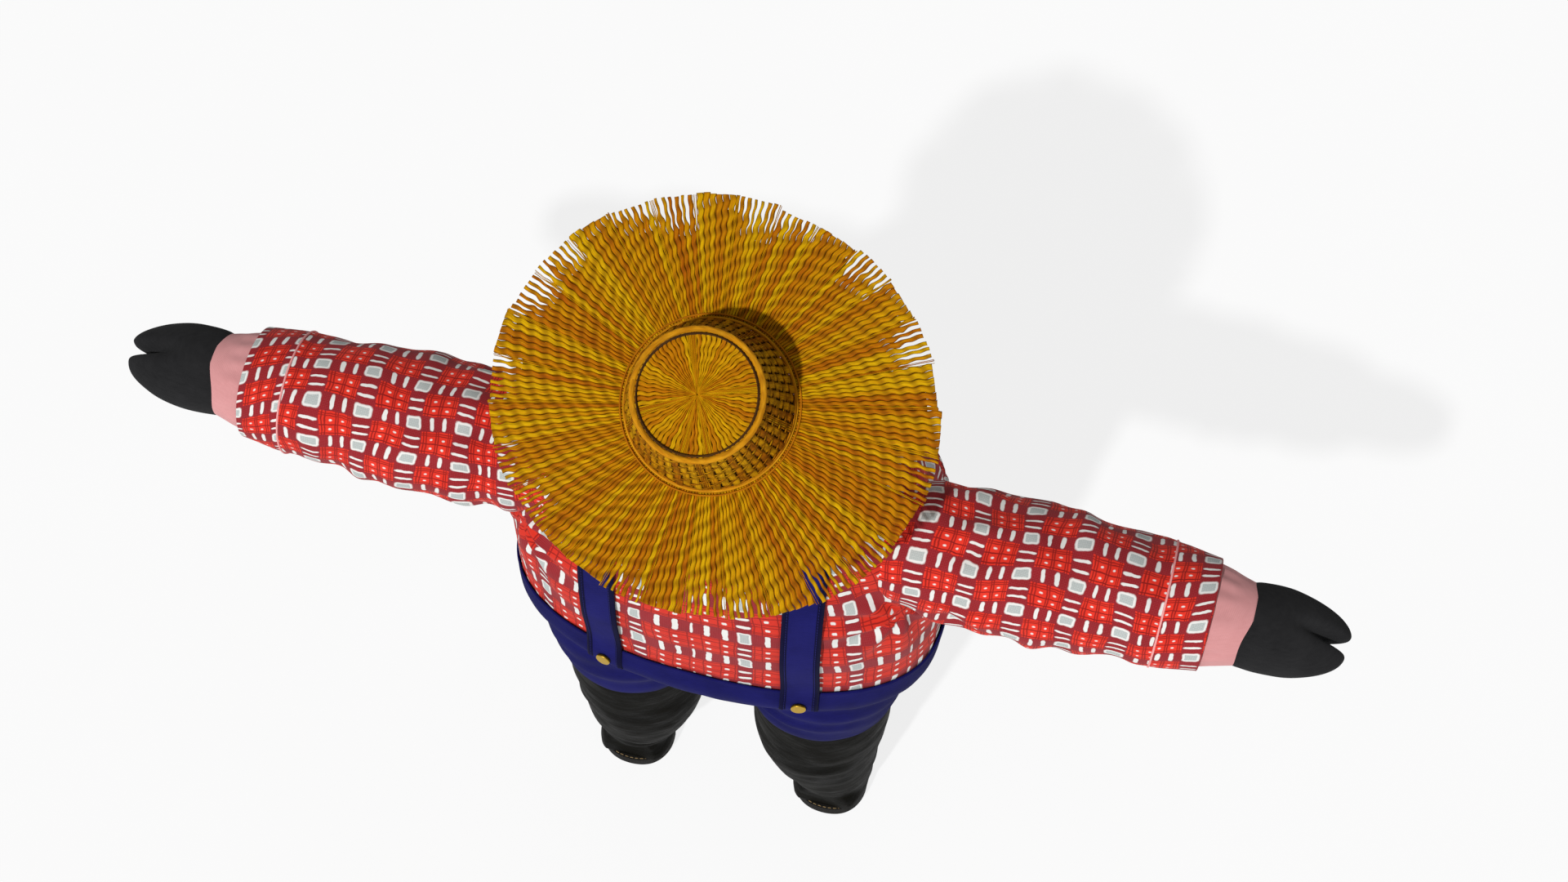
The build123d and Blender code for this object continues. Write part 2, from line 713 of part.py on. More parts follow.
with BuildPart() as head:
    across_skull = Plane(
        origin=SKULL, x_dir=(1, 0, 0), z_dir=(0, -HAT_AXIS.Z, HAT_AXIS.Y)
    )
    with BuildSketch(across_skull):
        with BuildLine():
            EllipticalCenterArc((0, 0), HEAD_R, HEAD_LONG, -90, arc_size=180)
            Line((0, HEAD_LONG), (0, -HEAD_LONG))
        make_face()
    revolve(axis=Axis(SKULL, HAT_AXIS))
    with BuildSketch(Plane(origin=(0, JOWL_Y, JOWL_Z), x_dir=(1, 0, 0), z_dir=(0, -1, 0))):
        with BuildLine():
            EllipticalCenterArc((0, 0), JOWL_R, JOWL_HALF_HEIGHT, -90, arc_size=180)
            Line((0, JOWL_HALF_HEIGHT), (0, -JOWL_HALF_HEIGHT))
        make_face()
    revolve(axis=Axis((0, JOWL_Y, JOWL_Z), (0, 0, 1)))
    with BuildSketch(Plane.XY.offset(SOCKET_LOW_Z - 20)):
        with Locations((0, SPINE_Y)):
            Circle(SOCKET_R)
    extrude(amount=SOCKET_TOP_Z - SOCKET_LOW_Z + 20, mode=Mode.SUBTRACT)
finish(head, "head")

with BuildPart() as snout:
    loft([
        disc(Plane(origin=(0, SNOUT_BASE_Y, SNOUT_Z), z_dir=(0, -1, 0)), 37),
        disc(Plane(origin=(0, SNOUT_TIP_Y + 20, SNOUT_Z), z_dir=(0, -1, 0)), 35),
        disc(Plane(origin=(0, SNOUT_TIP_Y, SNOUT_Z), z_dir=(0, -1, 0)), 41),
    ])
    fillet(snout.faces().sort_by(Axis.Y)[0].edges(), 5)
    add(head.part, mode=Mode.SUBTRACT)
    with BuildSketch(Plane(origin=(0, SNOUT_TIP_Y, SNOUT_Z), x_dir=(1, 0, 0), z_dir=(0, -1, 0))):
        with Locations((-14, 4), (14, 4)):
            Ellipse(5, 8)
    extrude(amount=-5, mode=Mode.SUBTRACT)
finish(snout, "snout")

with BuildPart() as eyes:
    for side in (1, -1):
        with Locations(surface_spot(head, side * EYE_X, EYE_Z, -1)[0]):
            Sphere(EYE_R)
    add(head.part, mode=Mode.SUBTRACT)
finish(eyes, "eyes")

for name, side in SIDES:
    droop = Vector(side * cos(radians(48)), -0.12, -sin(radians(48))).normalized()
    across_ear = Vector(0.1 * side, 1, 0.1).normalized()
    ear_plane = Plane(
        origin=(side * 76, SPINE_Y - 12, 1140),
        x_dir=droop,
        z_dir=droop.cross(across_ear) * side,
    )
    with BuildPart() as ear:
        with BuildSketch(ear_plane):
            with BuildLine():
                Spline(
                    (0, -EAR_HALF * 0.7), (EAR_LONG * 0.45, -EAR_HALF), (EAR_LONG, 0),
                    tangents=((1, -0.4), (0.5, 1)),
                )
                Spline(
                    (EAR_LONG, 0), (EAR_LONG * 0.45, EAR_HALF), (0, EAR_HALF * 0.7),
                    tangents=((-0.5, 1), (-1, -0.4)),
                )
                Line((0, EAR_HALF * 0.7), (0, -EAR_HALF * 0.7))
            make_face()
        extrude(amount=EAR_THICK / 2, both=True)
        add(head.part, mode=Mode.SUBTRACT)
    finish(ear, f"ear_{name}")

# ---- Hat: lifts off along its own axis ---------------------------------------------------

CROWN_BASE = BRIM_THICK
RING = 4.0
BAND_TOP = 28.0
BAND_THICK = 1.5


def crown_radius(rise, inset=0.0):
    """The crown's outside, or a cone inside it, at this height over the brim's underside."""
    share = (rise - CROWN_BASE) / (CROWN_HEIGHT - CROWN_BASE)
    return CROWN_LOW_R + share * (CROWN_TOP_R - CROWN_LOW_R) - inset


HAT_SECTION = Plane(
    origin=HAT_PLANE.origin, x_dir=(1, 0, 0), z_dir=(0, -HAT_AXIS.Z, HAT_AXIS.Y)
)
HAT_SPIN = Axis(HAT_PLANE.origin, HAT_AXIS)

with BuildPart() as hat_brim:
    with BuildSketch(HAT_PLANE):
        with Locations((BRIM_SHIFT, 0)):
            Ellipse(BRIM_LONG, BRIM_SHORT, rotation=BRIM_TURN)
        Circle(crown_radius(CROWN_BASE, CROWN_WALL), mode=Mode.SUBTRACT)
    extrude(amount=BRIM_THICK)
finish(hat_brim, "hat_brim")

ceiling = CROWN_HEIGHT - CROWN_WALL
with BuildPart() as hat_crown:
    with BuildSketch(HAT_SECTION):
        with BuildLine():
            Polyline(
                (crown_radius(CROWN_BASE, CROWN_WALL), CROWN_BASE),
                (crown_radius(CROWN_BASE), CROWN_BASE),
                (crown_radius(CROWN_HEIGHT), CROWN_HEIGHT),
                (0, CROWN_HEIGHT),
                (0, ceiling),
                (crown_radius(ceiling, CROWN_WALL), ceiling),
                close=True,
            )
        make_face()
    revolve(axis=HAT_SPIN)
finish(hat_crown, "hat_crown")

with BuildPart() as hat_rings:
    with BuildSketch(HAT_SECTION):
        with BuildLine():
            Polyline(
                (crown_radius(CROWN_BASE), CROWN_BASE),
                (crown_radius(CROWN_BASE) + RING, CROWN_BASE),
                (crown_radius(CROWN_BASE) + RING, CROWN_BASE + RING),
                (crown_radius(CROWN_BASE + 2 * RING), CROWN_BASE + 2 * RING),
                close=True,
            )
        make_face()
        with BuildLine():
            Polyline(
                (crown_radius(CROWN_HEIGHT - 2 * RING), CROWN_HEIGHT - 2 * RING),
                (crown_radius(CROWN_HEIGHT) + RING, CROWN_HEIGHT - RING),
                (crown_radius(CROWN_HEIGHT) + RING, CROWN_HEIGHT),
                (crown_radius(CROWN_HEIGHT), CROWN_HEIGHT + RING),
                (crown_radius(CROWN_HEIGHT) - RING, CROWN_HEIGHT),
                (crown_radius(CROWN_HEIGHT), CROWN_HEIGHT),
                close=True,
            )
        make_face()
    revolve(axis=HAT_SPIN)
finish(hat_rings, "hat_rings")

band_inset = CROWN_WALL + GAP
with BuildPart() as hat_sweatband:
    with BuildSketch(HAT_SECTION):
        with BuildLine():
            Polyline(
                (crown_radius(CROWN_BASE, band_inset), CROWN_BASE),
                (crown_radius(BAND_TOP, band_inset), BAND_TOP),
                (crown_radius(BAND_TOP, band_inset + BAND_THICK), BAND_TOP),
                (crown_radius(CROWN_BASE, band_inset + BAND_THICK), CROWN_BASE),
                close=True,
            )
        make_face()
    revolve(axis=HAT_SPIN)
finish(hat_sweatband, "hat_sweatband")
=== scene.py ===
"""Looks of the stuffed farmer scarecrow: straw hat, plaid shirt, navy shorts with braces, boots."""

import json
import random
from math import cos, pi, radians, sin

import bpy
import numpy as np
from mathutils import Matrix, Vector, noise
from mathutils.bvhtree import BVHTree


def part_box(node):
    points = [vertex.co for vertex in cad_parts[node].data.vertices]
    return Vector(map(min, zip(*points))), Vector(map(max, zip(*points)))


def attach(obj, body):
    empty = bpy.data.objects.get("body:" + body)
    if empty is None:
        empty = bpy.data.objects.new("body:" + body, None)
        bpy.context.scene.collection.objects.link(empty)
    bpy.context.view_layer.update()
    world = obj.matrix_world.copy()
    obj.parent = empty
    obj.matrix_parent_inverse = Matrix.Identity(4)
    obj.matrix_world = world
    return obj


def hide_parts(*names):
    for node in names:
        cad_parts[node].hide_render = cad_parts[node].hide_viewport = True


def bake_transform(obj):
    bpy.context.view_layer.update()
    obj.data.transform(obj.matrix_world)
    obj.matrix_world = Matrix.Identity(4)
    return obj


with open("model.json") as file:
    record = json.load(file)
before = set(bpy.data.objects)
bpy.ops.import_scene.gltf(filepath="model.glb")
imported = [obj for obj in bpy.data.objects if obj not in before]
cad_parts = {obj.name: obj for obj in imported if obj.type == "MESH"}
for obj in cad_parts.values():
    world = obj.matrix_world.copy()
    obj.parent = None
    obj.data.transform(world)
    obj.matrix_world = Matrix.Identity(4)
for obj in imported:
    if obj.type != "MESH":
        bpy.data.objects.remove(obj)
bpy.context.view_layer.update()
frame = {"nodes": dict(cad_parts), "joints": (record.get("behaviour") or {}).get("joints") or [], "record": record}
nodes = frame["nodes"]
SIDES = (("left", 1), ("right", -1))


def middle(name):
    """The middle of a CAD node's box."""
    low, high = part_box(name)
    return (low + high) / 2


# ---- Places taken from the frame ----------------------------------------------------

# Each arm's line, and how far out its cuff, its hoof and the hoof's tip are.
ARM = {
    name: {
        "y": middle(f"sleeve_{name}").y,
        "z": middle(f"sleeve_{name}").z,
        "cuff": max(abs(c.x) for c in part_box(f"sleeve_{name}")),
        "hoof": min(abs(c.x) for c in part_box(f"hoof_{name}")),
        "tip": max(abs(c.x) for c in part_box(f"hoof_{name}")),
    }
    for name, side in SIDES
}
BODY_Y = 0.008           # the trunk's upright line
HEM_Z, WAIST_Z = (c.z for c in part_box("shorts"))
# The hat's own axes: LIFT along its crown, HAT_X to the figure's left, HAT_Y to its back.
LIFT = Vector(next(j for j in frame["joints"] if j["name"] == "hat_lift")["axis"]).normalized()
HAT_X = Vector((1, 0, 0))
HAT_Y = LIFT.cross(HAT_X)
BRIM_THICK = 0.005
BRIM_MIDDLE = middle("hat_brim") - LIFT * BRIM_THICK / 2
HAT = BRIM_MIDDLE + HAT_X * (middle("hat_rings").x - BRIM_MIDDLE.x)
BRIM_SHIFT = BRIM_MIDDLE.x - HAT.x                            # the brim sits a little to one side
BRIM_LONG, BRIM_SHORT, BRIM_TURN = 0.252, 0.228, radians(-10)     # half axes of the brim's oval
CROWN_LOW, CROWN_TOP, CROWN_HEIGHT = 0.093, 0.069, 0.112          # radii and height

# height, half width, depth in front, depth behind
TRUNK = np.array((
    (0.470, 0.165, 0.120, 0.066), (0.492, 0.218, 0.160, 0.086), (0.520, 0.246, 0.190, 0.106),
    (0.560, 0.262, 0.215, 0.130), (0.600, 0.270, 0.232, 0.146), (0.643, 0.272, 0.240, 0.140),
    (0.690, 0.273, 0.245, 0.140), (0.740, 0.273, 0.245, 0.143), (0.800, 0.268, 0.236, 0.140),
    (0.859, 0.256, 0.212, 0.134), (0.900, 0.242, 0.182, 0.128), (0.940, 0.226, 0.150, 0.120),
    (0.968, 0.196, 0.122, 0.111), (0.986, 0.150, 0.094, 0.098), (0.996, 0.104, 0.070, 0.084),
    (1.002, 0.062, 0.048, 0.072),
))
TRUNK_OVAL = 2.35        # 2 would be an ellipse

# height, distance out, distance back, half width, half depth of each leg of the shorts
THIGH = np.array((
    (0.440, 0.129, 0.028, 0.0994, 0.0994), (0.452, 0.129, 0.028, 0.100, 0.100),
    (0.500, 0.129, 0.026, 0.107, 0.108), (0.550, 0.130, 0.018, 0.114, 0.118),
    (0.590, 0.131, 0.012, 0.112, 0.116),
))

# distance out along the arm, radius of the sleeve
SLEEVE = np.array((
    (0.190, 0.062), (0.220, 0.070), (0.250, 0.076), (0.280, 0.080), (0.305, 0.0825),
    (0.335, 0.084), (0.400, 0.081), (0.480, 0.077), (0.540, 0.073), (0.579, 0.067),
))


# ---- Mesh helpers -------------------------------------------------------------------

def between(table, at):
    """Smooth values between the rows of a table, at row numbers that may have a fraction."""
    at = np.asarray(at, float)
    low = np.clip(np.floor(at).astype(int), 0, len(table) - 2)
    part = (at - low)[..., None]
    slope = np.gradient(table, axis=0)
    a, b, da, db = table[low], table[low + 1], slope[low], slope[low + 1]
    cube, square = part ** 3, part ** 2
    return (
        a * (2 * cube - 3 * square + 1) + da * (cube - 2 * square + part)
        + b * (3 * square - 2 * cube) + db * (cube - square)
    )


def evenly(table, count):
    """This many smooth values over the whole table."""
    return between(table, np.linspace(0, len(table) - 1, count))


def row_at(table, value):
    """The row number where the table's first column has this value."""
    return np.interp(value, table[:, 0], np.arange(len(table)))


def stacked(*parts):
    """Coordinates, spread to one shape, as an array of points."""
    return np.stack(np.broadcast_arrays(*parts), axis=-1)


def ramp(value):
    """The value, held between 0 and 1."""
    return np.clip(value, 0, 1)


def hump(value, middle, width):
    """1 at the middle, and falling to nothing on both sides of it."""
    return np.exp(-((value - middle) / width) ** 2)


def grid_normals(points, closed):
    """Unit normals of a grid of points, from its two directions."""
    if closed:
        across = np.roll(points, -1, axis=1) - np.roll(points, 1, axis=1)
    else:
        across = np.gradient(points, axis=1)
    along = np.gradient(points, axis=0)
    normal = np.cross(across, along)
    return normal / np.maximum(np.linalg.norm(normal, axis=-1, keepdims=True), 1e-12)


def bumps(points, scale, seed=0.0):
    """Soft noise from -1 to 1 at each point."""
    shape = points.shape[:-1]
    flat = points.reshape(-1, 3) * scale + seed
    return np.array([noise.noise(Vector(p)) for p in flat]).reshape(shape)


def around(count):
    """Angles of one whole turn, without its end."""
    return np.linspace(0, 2 * pi, count, endpoint=False)


def lengths_along(line):
    """How far each point lies along a line of points."""
    return np.concatenate([[0], np.cumsum(np.linalg.norm(np.diff(line, axis=0), axis=1))])


def points_at(line, steps, at):
    """Points of a line at these lengths along it."""
    return np.stack([np.interp(at, steps, line[:, i]) for i in range(3)], axis=-1)


def shown(name, data):
    """A new object in the scene."""
    made = bpy.data.objects.new(name, data)
    bpy.context.scene.collection.objects.link(made)
    return made


def smoothed(mesh):
    """Shades every face of the mesh smoothly."""
    mesh.polygons.foreach_set("use_smooth", [True] * len(mesh.polygons))


def swapped(obj, mesh):
    """Gives the object another mesh and removes the old one."""
    old = obj.data
    obj.data = mesh
    bpy.data.meshes.remove(old)
    return obj


class Pile:
    """Collects grids of points and builds one mesh from them."""

    def __init__(self):
        self.points, self.faces, self.uvs, self.count = [], [], [], 0

    def grid(self, points, closed=True, uv=None, caps=False, flip=False):
        """Adds rows of points, closed round each row, with flat ends if caps is set.

        flip turns the rows round, for a grid that would come out inside out.
        """
        if flip:
            points = points[:, ::-1]
            uv = None if uv is None else uv[:, ::-1]
        rows, cols = points.shape[:2]
        index = self.count + np.arange(rows * cols).reshape(rows, cols)
        wrapped = np.concatenate([index, index[:, :1]], axis=1) if closed else index
        quads = np.stack(
            [wrapped[:-1, :-1], wrapped[:-1, 1:], wrapped[1:, 1:], wrapped[1:, :-1]], axis=-1
        )
        if uv is None:
            across = np.linspace(0, 1, wrapped.shape[1])
            uv = stacked(across, np.linspace(0, 1, rows)[:, None])
        corners = np.stack([uv[:-1, :-1], uv[:-1, 1:], uv[1:, 1:], uv[1:, :-1]], axis=2)
        self.points.append(points.reshape(-1, 3))
        self.faces += quads.reshape(-1, 4).tolist()
        self.uvs.append(corners.reshape(-1, 2))
        if caps:
            for end, line in ((index[0][::-1], uv[0][:cols][::-1]), (index[-1], uv[-1][:cols])):
                self.faces.append(end.tolist())
                self.uvs.append(line)
        self.count += rows * cols
        return self

    def build(self, name, material, slot):
        """Makes one object of everything in the pile."""
        mesh = bpy.data.meshes.new(name)
        mesh.from_pydata(np.concatenate(self.points).tolist(), [], self.faces)
        layer = mesh.uv_layers.new(name="cloth")
        layer.data.foreach_set("uv", np.concatenate(self.uvs).astype(np.float32).ravel())
        smoothed(mesh)
        mesh.materials.append(material)
        made = shown(name, mesh)
        return made


def settled(obj):
    """Applies the object's modifiers to its mesh."""
    ready = obj.evaluated_get(bpy.context.evaluated_depsgraph_get())
    mesh = bpy.data.meshes.new_from_object(ready)
    obj.modifiers.clear()
    return swapped(obj, mesh)


def modified(obj, kind, **settings):
    """Adds a modifier and applies it."""
    modifier = obj.modifiers.new(kind, kind)
    for key, value in settings.items():
        setattr(modifier, key, value)
    return settled(obj)


def softened(obj, voxel, rounds):
    """Makes one skin of the object's forms and smooths it."""
    modified(obj, "REMESH", mode="VOXEL", voxel_size=voxel)
    modified(obj, "SMOOTH", factor=0.5, iterations=rounds)


def moved(obj, change):
    """Moves the vertices: change takes arrays of points and normals and returns the new points."""
    mesh = obj.data
    points = np.empty(len(mesh.vertices) * 3)
    normals = np.empty(len(mesh.vertices) * 3)
    mesh.vertices.foreach_get("co", points)
    mesh.vertex_normals.foreach_get("vector", normals)
    mesh.vertices.foreach_set("co", change(points.reshape(-1, 3), normals.reshape(-1, 3)).ravel())
    mesh.update()
    return obj


def cad_surface(*names):
    """Points and faces of CAD nodes, taken together."""
    points, faces = [], []
    for name in names:
        mesh = nodes[name].data
        start = len(points)
        points += [v.co.copy() for v in mesh.vertices]
        faces += [[start + i for i in p.vertices] for p in mesh.polygons]
    return points, faces


def surface_of(name):
    """A tree of a CAD node's surface for ray casts."""
    return BVHTree.FromPolygons(*cad_surface(name))


def blob(name, sources, voxel, rounds, material):
    """One soft closed form round CAD nodes: remeshed and smoothed."""
    points, faces = cad_surface(*sources)
    mesh = bpy.data.meshes.new(name)
    mesh.from_pydata(points, [], faces)
    made = shown(name, mesh)
    softened(made, voxel, rounds)
    smoothed(made.data)
    made.data.materials.clear()
    made.data.materials.append(material)
    return made


def tube(path, radius, sides, up=(0.0, 0.0, 1.0)):
    """Rings of points round a path: a grid that is closed round the path."""
    path = np.asarray(path, float)
    ahead = np.gradient(path, axis=0)
    ahead /= np.linalg.norm(ahead, axis=-1, keepdims=True)
    up = np.broadcast_to(np.asarray(up, float), path.shape)
    side = np.cross(ahead, up)
    side /= np.maximum(np.linalg.norm(side, axis=-1, keepdims=True), 1e-9)
    top = np.cross(side, ahead)
    turn = around(sides)
    radius = np.broadcast_to(np.asarray(radius, float), (len(path),))[:, None, None]
    return (
        path[:, None] + side[:, None] * np.cos(turn)[None, :, None] * radius
        + top[:, None] * np.sin(turn)[None, :, None] * radius
    )


# ---- Material helpers -----------------------------------------------------------------

def tone(red, green, blue):
    """A screen colour from 0 to 255 as the shader's linear colour."""
    return tuple(
        c / 255 / 12.92 if c / 255 <= 0.04045 else ((c / 255 + 0.055) / 1.055) ** 2.4
        for c in (red, green, blue)
    ) + (1.0,)


class Finish:
    """A node material under construction."""

    def __init__(self, name, roughness, **constants):
        self.material = bpy.data.materials.new(name)
        self.material.use_nodes = True
        self.tree = self.material.node_tree
        self.shader = self.tree.nodes["Principled BSDF"]
        self.shader.inputs["Roughness"].default_value = roughness
        for key, value in constants.items():
            self.shader.inputs[key.replace("_", " ")].default_value = value

    def node(self, kind, inputs=None, **settings):
        """Adds a node. An input is a socket to link or a value to set."""
        made = self.tree.nodes.new(kind)
        for key, value in settings.items():
            setattr(made, key, value)
        for key, value in (inputs or {}).items():
            if isinstance(value, bpy.types.NodeSocket):
                self.tree.links.new(value, made.inputs[key])
            else:
                made.inputs[key].default_value = value
        return made

    def math(self, operation, a, b=0.0, c=0.0):
        return self.node("ShaderNodeMath", {0: a, 1: b, 2: c}, operation=operation).outputs[0]

    def times(self, a, b):
        return self.math("MULTIPLY", a, b)

    def plus(self, a, b):
        return self.math("ADD", a, b)

    def minus(self, a, b):
        return self.math("SUBTRACT", a, b)

    def blended(self, *parts):
        """The sum of pairs of a value and its share."""
        (a, a_share), (b, b_share) = parts
        return self.plus(self.times(a, a_share), self.times(b, b_share))

    def mix(self, share, a, b):
        return self.node("ShaderNodeMix", {0: share, 6: a, 7: b}, data_type="RGBA").outputs[2]

    def ramp(self, value, stops):
        made = self.node("ShaderNodeValToRGB", {0: value})
        elements = made.color_ramp.elements
        while len(elements) > 1:
            elements.remove(elements[-1])
        elements[0].position, elements[0].color = stops[0]
        for place, colour in stops[1:]:
            elements.new(place).color = colour
        return made.outputs[0]

    def grey(self, value, *stops):
        """A ramp of plain numbers."""
        return self.ramp(value, [(place, (level, level, level, 1)) for place, level in stops])

    def noise(self, vector, scale, detail=3.0, roughness=0.5, distortion=0.0):
        return self.node("ShaderNodeTexNoise", {
            "Vector": vector, "Scale": scale, "Detail": detail, "Roughness": roughness,
            "Distortion": distortion,
        }).outputs[0]

    def stretched(self, vector, sizes):
        return self.node("ShaderNodeMapping", {"Vector": vector, "Scale": sizes}).outputs[0]

    def place(self):
        return self.node("ShaderNodeTexCoord").outputs["Object"]

    def cloth_place(self):
        return self.node("ShaderNodeUVMap", uv_map="cloth").outputs[0]

    def bump(self, height, strength, distance):
        made = self.node(
            "ShaderNodeBump", {"Height": height, "Strength": strength, "Distance": distance}
        )
        self.tree.links.new(made.outputs[0], self.shader.inputs["Normal"])

    def done(self, colour, roughness=None):
        self.tree.links.new(colour, self.shader.inputs["Base Color"])
        if roughness is not None:
            self.tree.links.new(roughness, self.shader.inputs["Roughness"])
        return self.material


# ---- Materials --------------------------------------------------------------------------

# Bands are (start, width, wide) in metres along one repeat of the plaid.
ROW_REPEAT = 0.046
ROW_BANDS = ((0.0, 0.0185, True), (0.0235, 0.0044, False), (0.0340, 0.0044, False))
WIDE_EDGE, NARROW_EDGE = 0.0048, 0.0024     # soft edges of the light bands
LINE_AWAY, LINE_HALF = 0.0028, 0.0013       # dark lines beside the bands


def plaid(name, u_period, u_bands, wave, lean, tall=1.0, shade=1.0):
    """Red shirt cloth: wide and narrow light bands each way, dark red round them, thin dark lines.

    wave is how far the bands wander, lean how far the rows slope, tall how far apart they are, and shade how far
    the reds are darkened, as painted shade.
    """
    v_period = ROW_REPEAT * tall
    v_bands = [(start * tall, width * tall, wide) for start, width, wide in ROW_BANDS]
    f = Finish(name, 0.9, Sheen_Weight=0.04, Specular_IOR_Level=0.2)
    cloth = f.cloth_place()
    parts = f.node("ShaderNodeSeparateXYZ", {0: cloth}).outputs
    drift = f.node("ShaderNodeTexNoise", {"Vector": cloth, "Scale": 9.0, "Detail": 1.5})
    pull = f.node("ShaderNodeSeparateColor", {0: drift.outputs["Color"]}).outputs
    fine = f.noise(cloth, 75.0, 2.0)
    fuzz = f.times(f.minus(fine, 0.5), 0.0035)
    masks = []
    for axis, period, bands in ((0, u_period, u_bands), (1, v_period, v_bands)):
        wander = f.times(f.minus(pull[axis], 0.5), wave)
        across = f.times(parts[1 - axis], lean if axis else 0.0)
        along = f.plus(f.plus(parts[axis], wander), f.plus(across, fuzz))
        turn = f.math("FRACT", f.plus(f.math("DIVIDE", along, period), 100.0))
        light, lines = [(0.0, 0.0)], []
        wide_ends = (0.0, 0.0)
        for start, width, wide in bands:
            edge = WIDE_EDGE if wide else NARROW_EDGE
            light += [
                (start + 0.0002, 0.0), (start + edge, 1.0), (start + width - edge, 1.0),
                (start + width, 0.0),
            ]
            if wide:
                wide_ends = (start / period, (start + width) / period)
            # A ramp holds 32 stops, so a repeat with many bands has one line beside each narrow one.
            if wide or len(bands) <= 3:
                lines.append(start - LINE_AWAY)
            lines.append(start + width + LINE_AWAY)
        light_ramp = f.grey(turn, *[(min(at / period, 1.0), level) for at, level in light])
        wide_ramp = f.grey(
            turn, (0.0, 1.0), (wide_ends[1], 1.0), (wide_ends[1] + 0.004, 0.0), (1.0, 0.0)
        )
        line_stops = [(0.0, 0.0)]
        for at in sorted(x % period for x in lines):
            line_stops += [
                ((at - LINE_HALF) / period, 0.0), (at / period, 1.0), ((at + LINE_HALF) / period, 0.0)
            ]
        line_ramp = f.grey(turn, *[s for s in line_stops if 0 <= s[0] <= 1])
        masks.append((light_ramp, wide_ramp, line_ramp))
    (light_u, wide_u, line_u), (light_v, wide_v, line_v) = masks
    either = f.math("MAXIMUM", wide_u, wide_v)
    share = f.plus(0.55, f.times(either, 0.45))
    patches = f.times(f.times(light_u, light_v), share)
    white = f.grey(patches, (0.0, 0.0), (0.15, 0.0), (0.46, 1.0))
    both = f.times(wide_u, wide_v)
    core = f.times(f.grey(patches, (0.0, 0.0), (0.80, 0.0), (0.98, 1.0)), both)
    weave = f.times(*[
        f.node("ShaderNodeTexWave", {
            "Vector": cloth, "Scale": scale, "Distortion": 2.5, "Detail": 2.0, "Detail Scale": 60.0,
        }, bands_direction=way).outputs[1]
        for scale, way in ((190.0, "X"), (170.0, "Y"))
    ])
    soft = f.noise(cloth, 26.0, 3.0)
    # shade darkens the reds: painted shade.
    red = f.mix(soft, *[tone(*(c * shade for c in rgb)) for rgb in ((206, 38, 26), (238, 60, 40))])
    lines = f.math("MAXIMUM", line_u, line_v)
    red = f.mix(f.times(lines, 0.85), red, tone(92, 6, 14))
    faint = f.times(f.times(either, weave), 0.28)
    dark = f.mix(faint, f.mix(soft, tone(122, 14, 22), tone(156, 24, 34)), tone(186, 110, 112))
    colour = f.mix(either, red, dark)
    inner = f.mix(f.grey(weave, (0.2, 0.0), (0.75, 1.0)), tone(170, 177, 175), tone(204, 208, 205))
    patch = f.mix(core, tone(226, 226, 222), inner)
    colour = f.mix(white, colour, patch)
    height = f.plus(f.times(weave, 0.6), f.noise(cloth, 900.0, 2.0))
    f.bump(height, 0.22, 0.0006)
    return f.done(colour)


SLEEVE_REPEAT, BODY_REPEAT = 0.0605, 0.1360
SLEEVE_BANDS = ((0.0, 0.0235, True), (0.0310, 0.0062, False), (0.0455, 0.0062, False))
plaid_sleeve = plaid("plaid_sleeve", SLEEVE_REPEAT, SLEEVE_BANDS, 0.028, 0.06)
plaid_cuff = plaid("plaid_cuff", SLEEVE_REPEAT, SLEEVE_BANDS, 0.016, 0.35)
# The trunk's reds are a little darker than the sleeves': painted shade.
plaid_body = plaid("plaid_body", BODY_REPEAT, (
    (0.0, 0.0200, True), (0.0290, 0.0085, False), (0.0510, 0.0085, False),
    (0.0720, 0.0050, False), (0.0900, 0.0085, False), (0.1120, 0.0085, False),
), 0.014, 0.05, tall=1.73, shade=0.93)


# Where the outside of a strip's grid has its middle and its edges, along the UV's first way.
STRIP_MIDDLE, STRIP_FLAT, STRIP_EDGE = 0.23, 0.148, 0.160


def twill(name, dark, light, roughness=0.9, grain=620.0, sheen=0.05, depth=0.0005, border=None):
    """Plain woven cloth with fine slanting ribs, slubs and worn patches, and darker edges if asked."""
    f = Finish(name, roughness, Sheen_Weight=sheen, Specular_IOR_Level=0.03)
    place = f.place()
    ribs = f.node("ShaderNodeTexWave", {
        "Vector": place, "Scale": grain / 3, "Distortion": 1.2, "Detail": 2.0,
        "Detail Scale": 12.0,
    }, bands_direction="DIAGONAL").outputs[1]
    slubs = f.noise(f.stretched(place, (1.0, 1.0, 6.0)), 90.0, 4.0, 0.6)
    worn = f.noise(place, 14.0, 4.0, 0.6)
    share = f.blended((worn, 0.65), (slubs, 0.35))
    colour = f.mix(f.grey(share, (0.3, 0.0), (0.7, 1.0)), dark, light)
    if border is not None:
        across = f.node("ShaderNodeSeparateXYZ", {0: f.cloth_place()}).outputs[0]
        off = f.math("ABSOLUTE", f.minus(across, STRIP_MIDDLE))
        colour = f.mix(f.grey(off, (STRIP_FLAT, 0.0), (STRIP_EDGE, 1.0)), colour, border)
    f.bump(f.plus(f.times(ribs, 0.7), slubs), 0.3, depth)
    return f.done(colour)


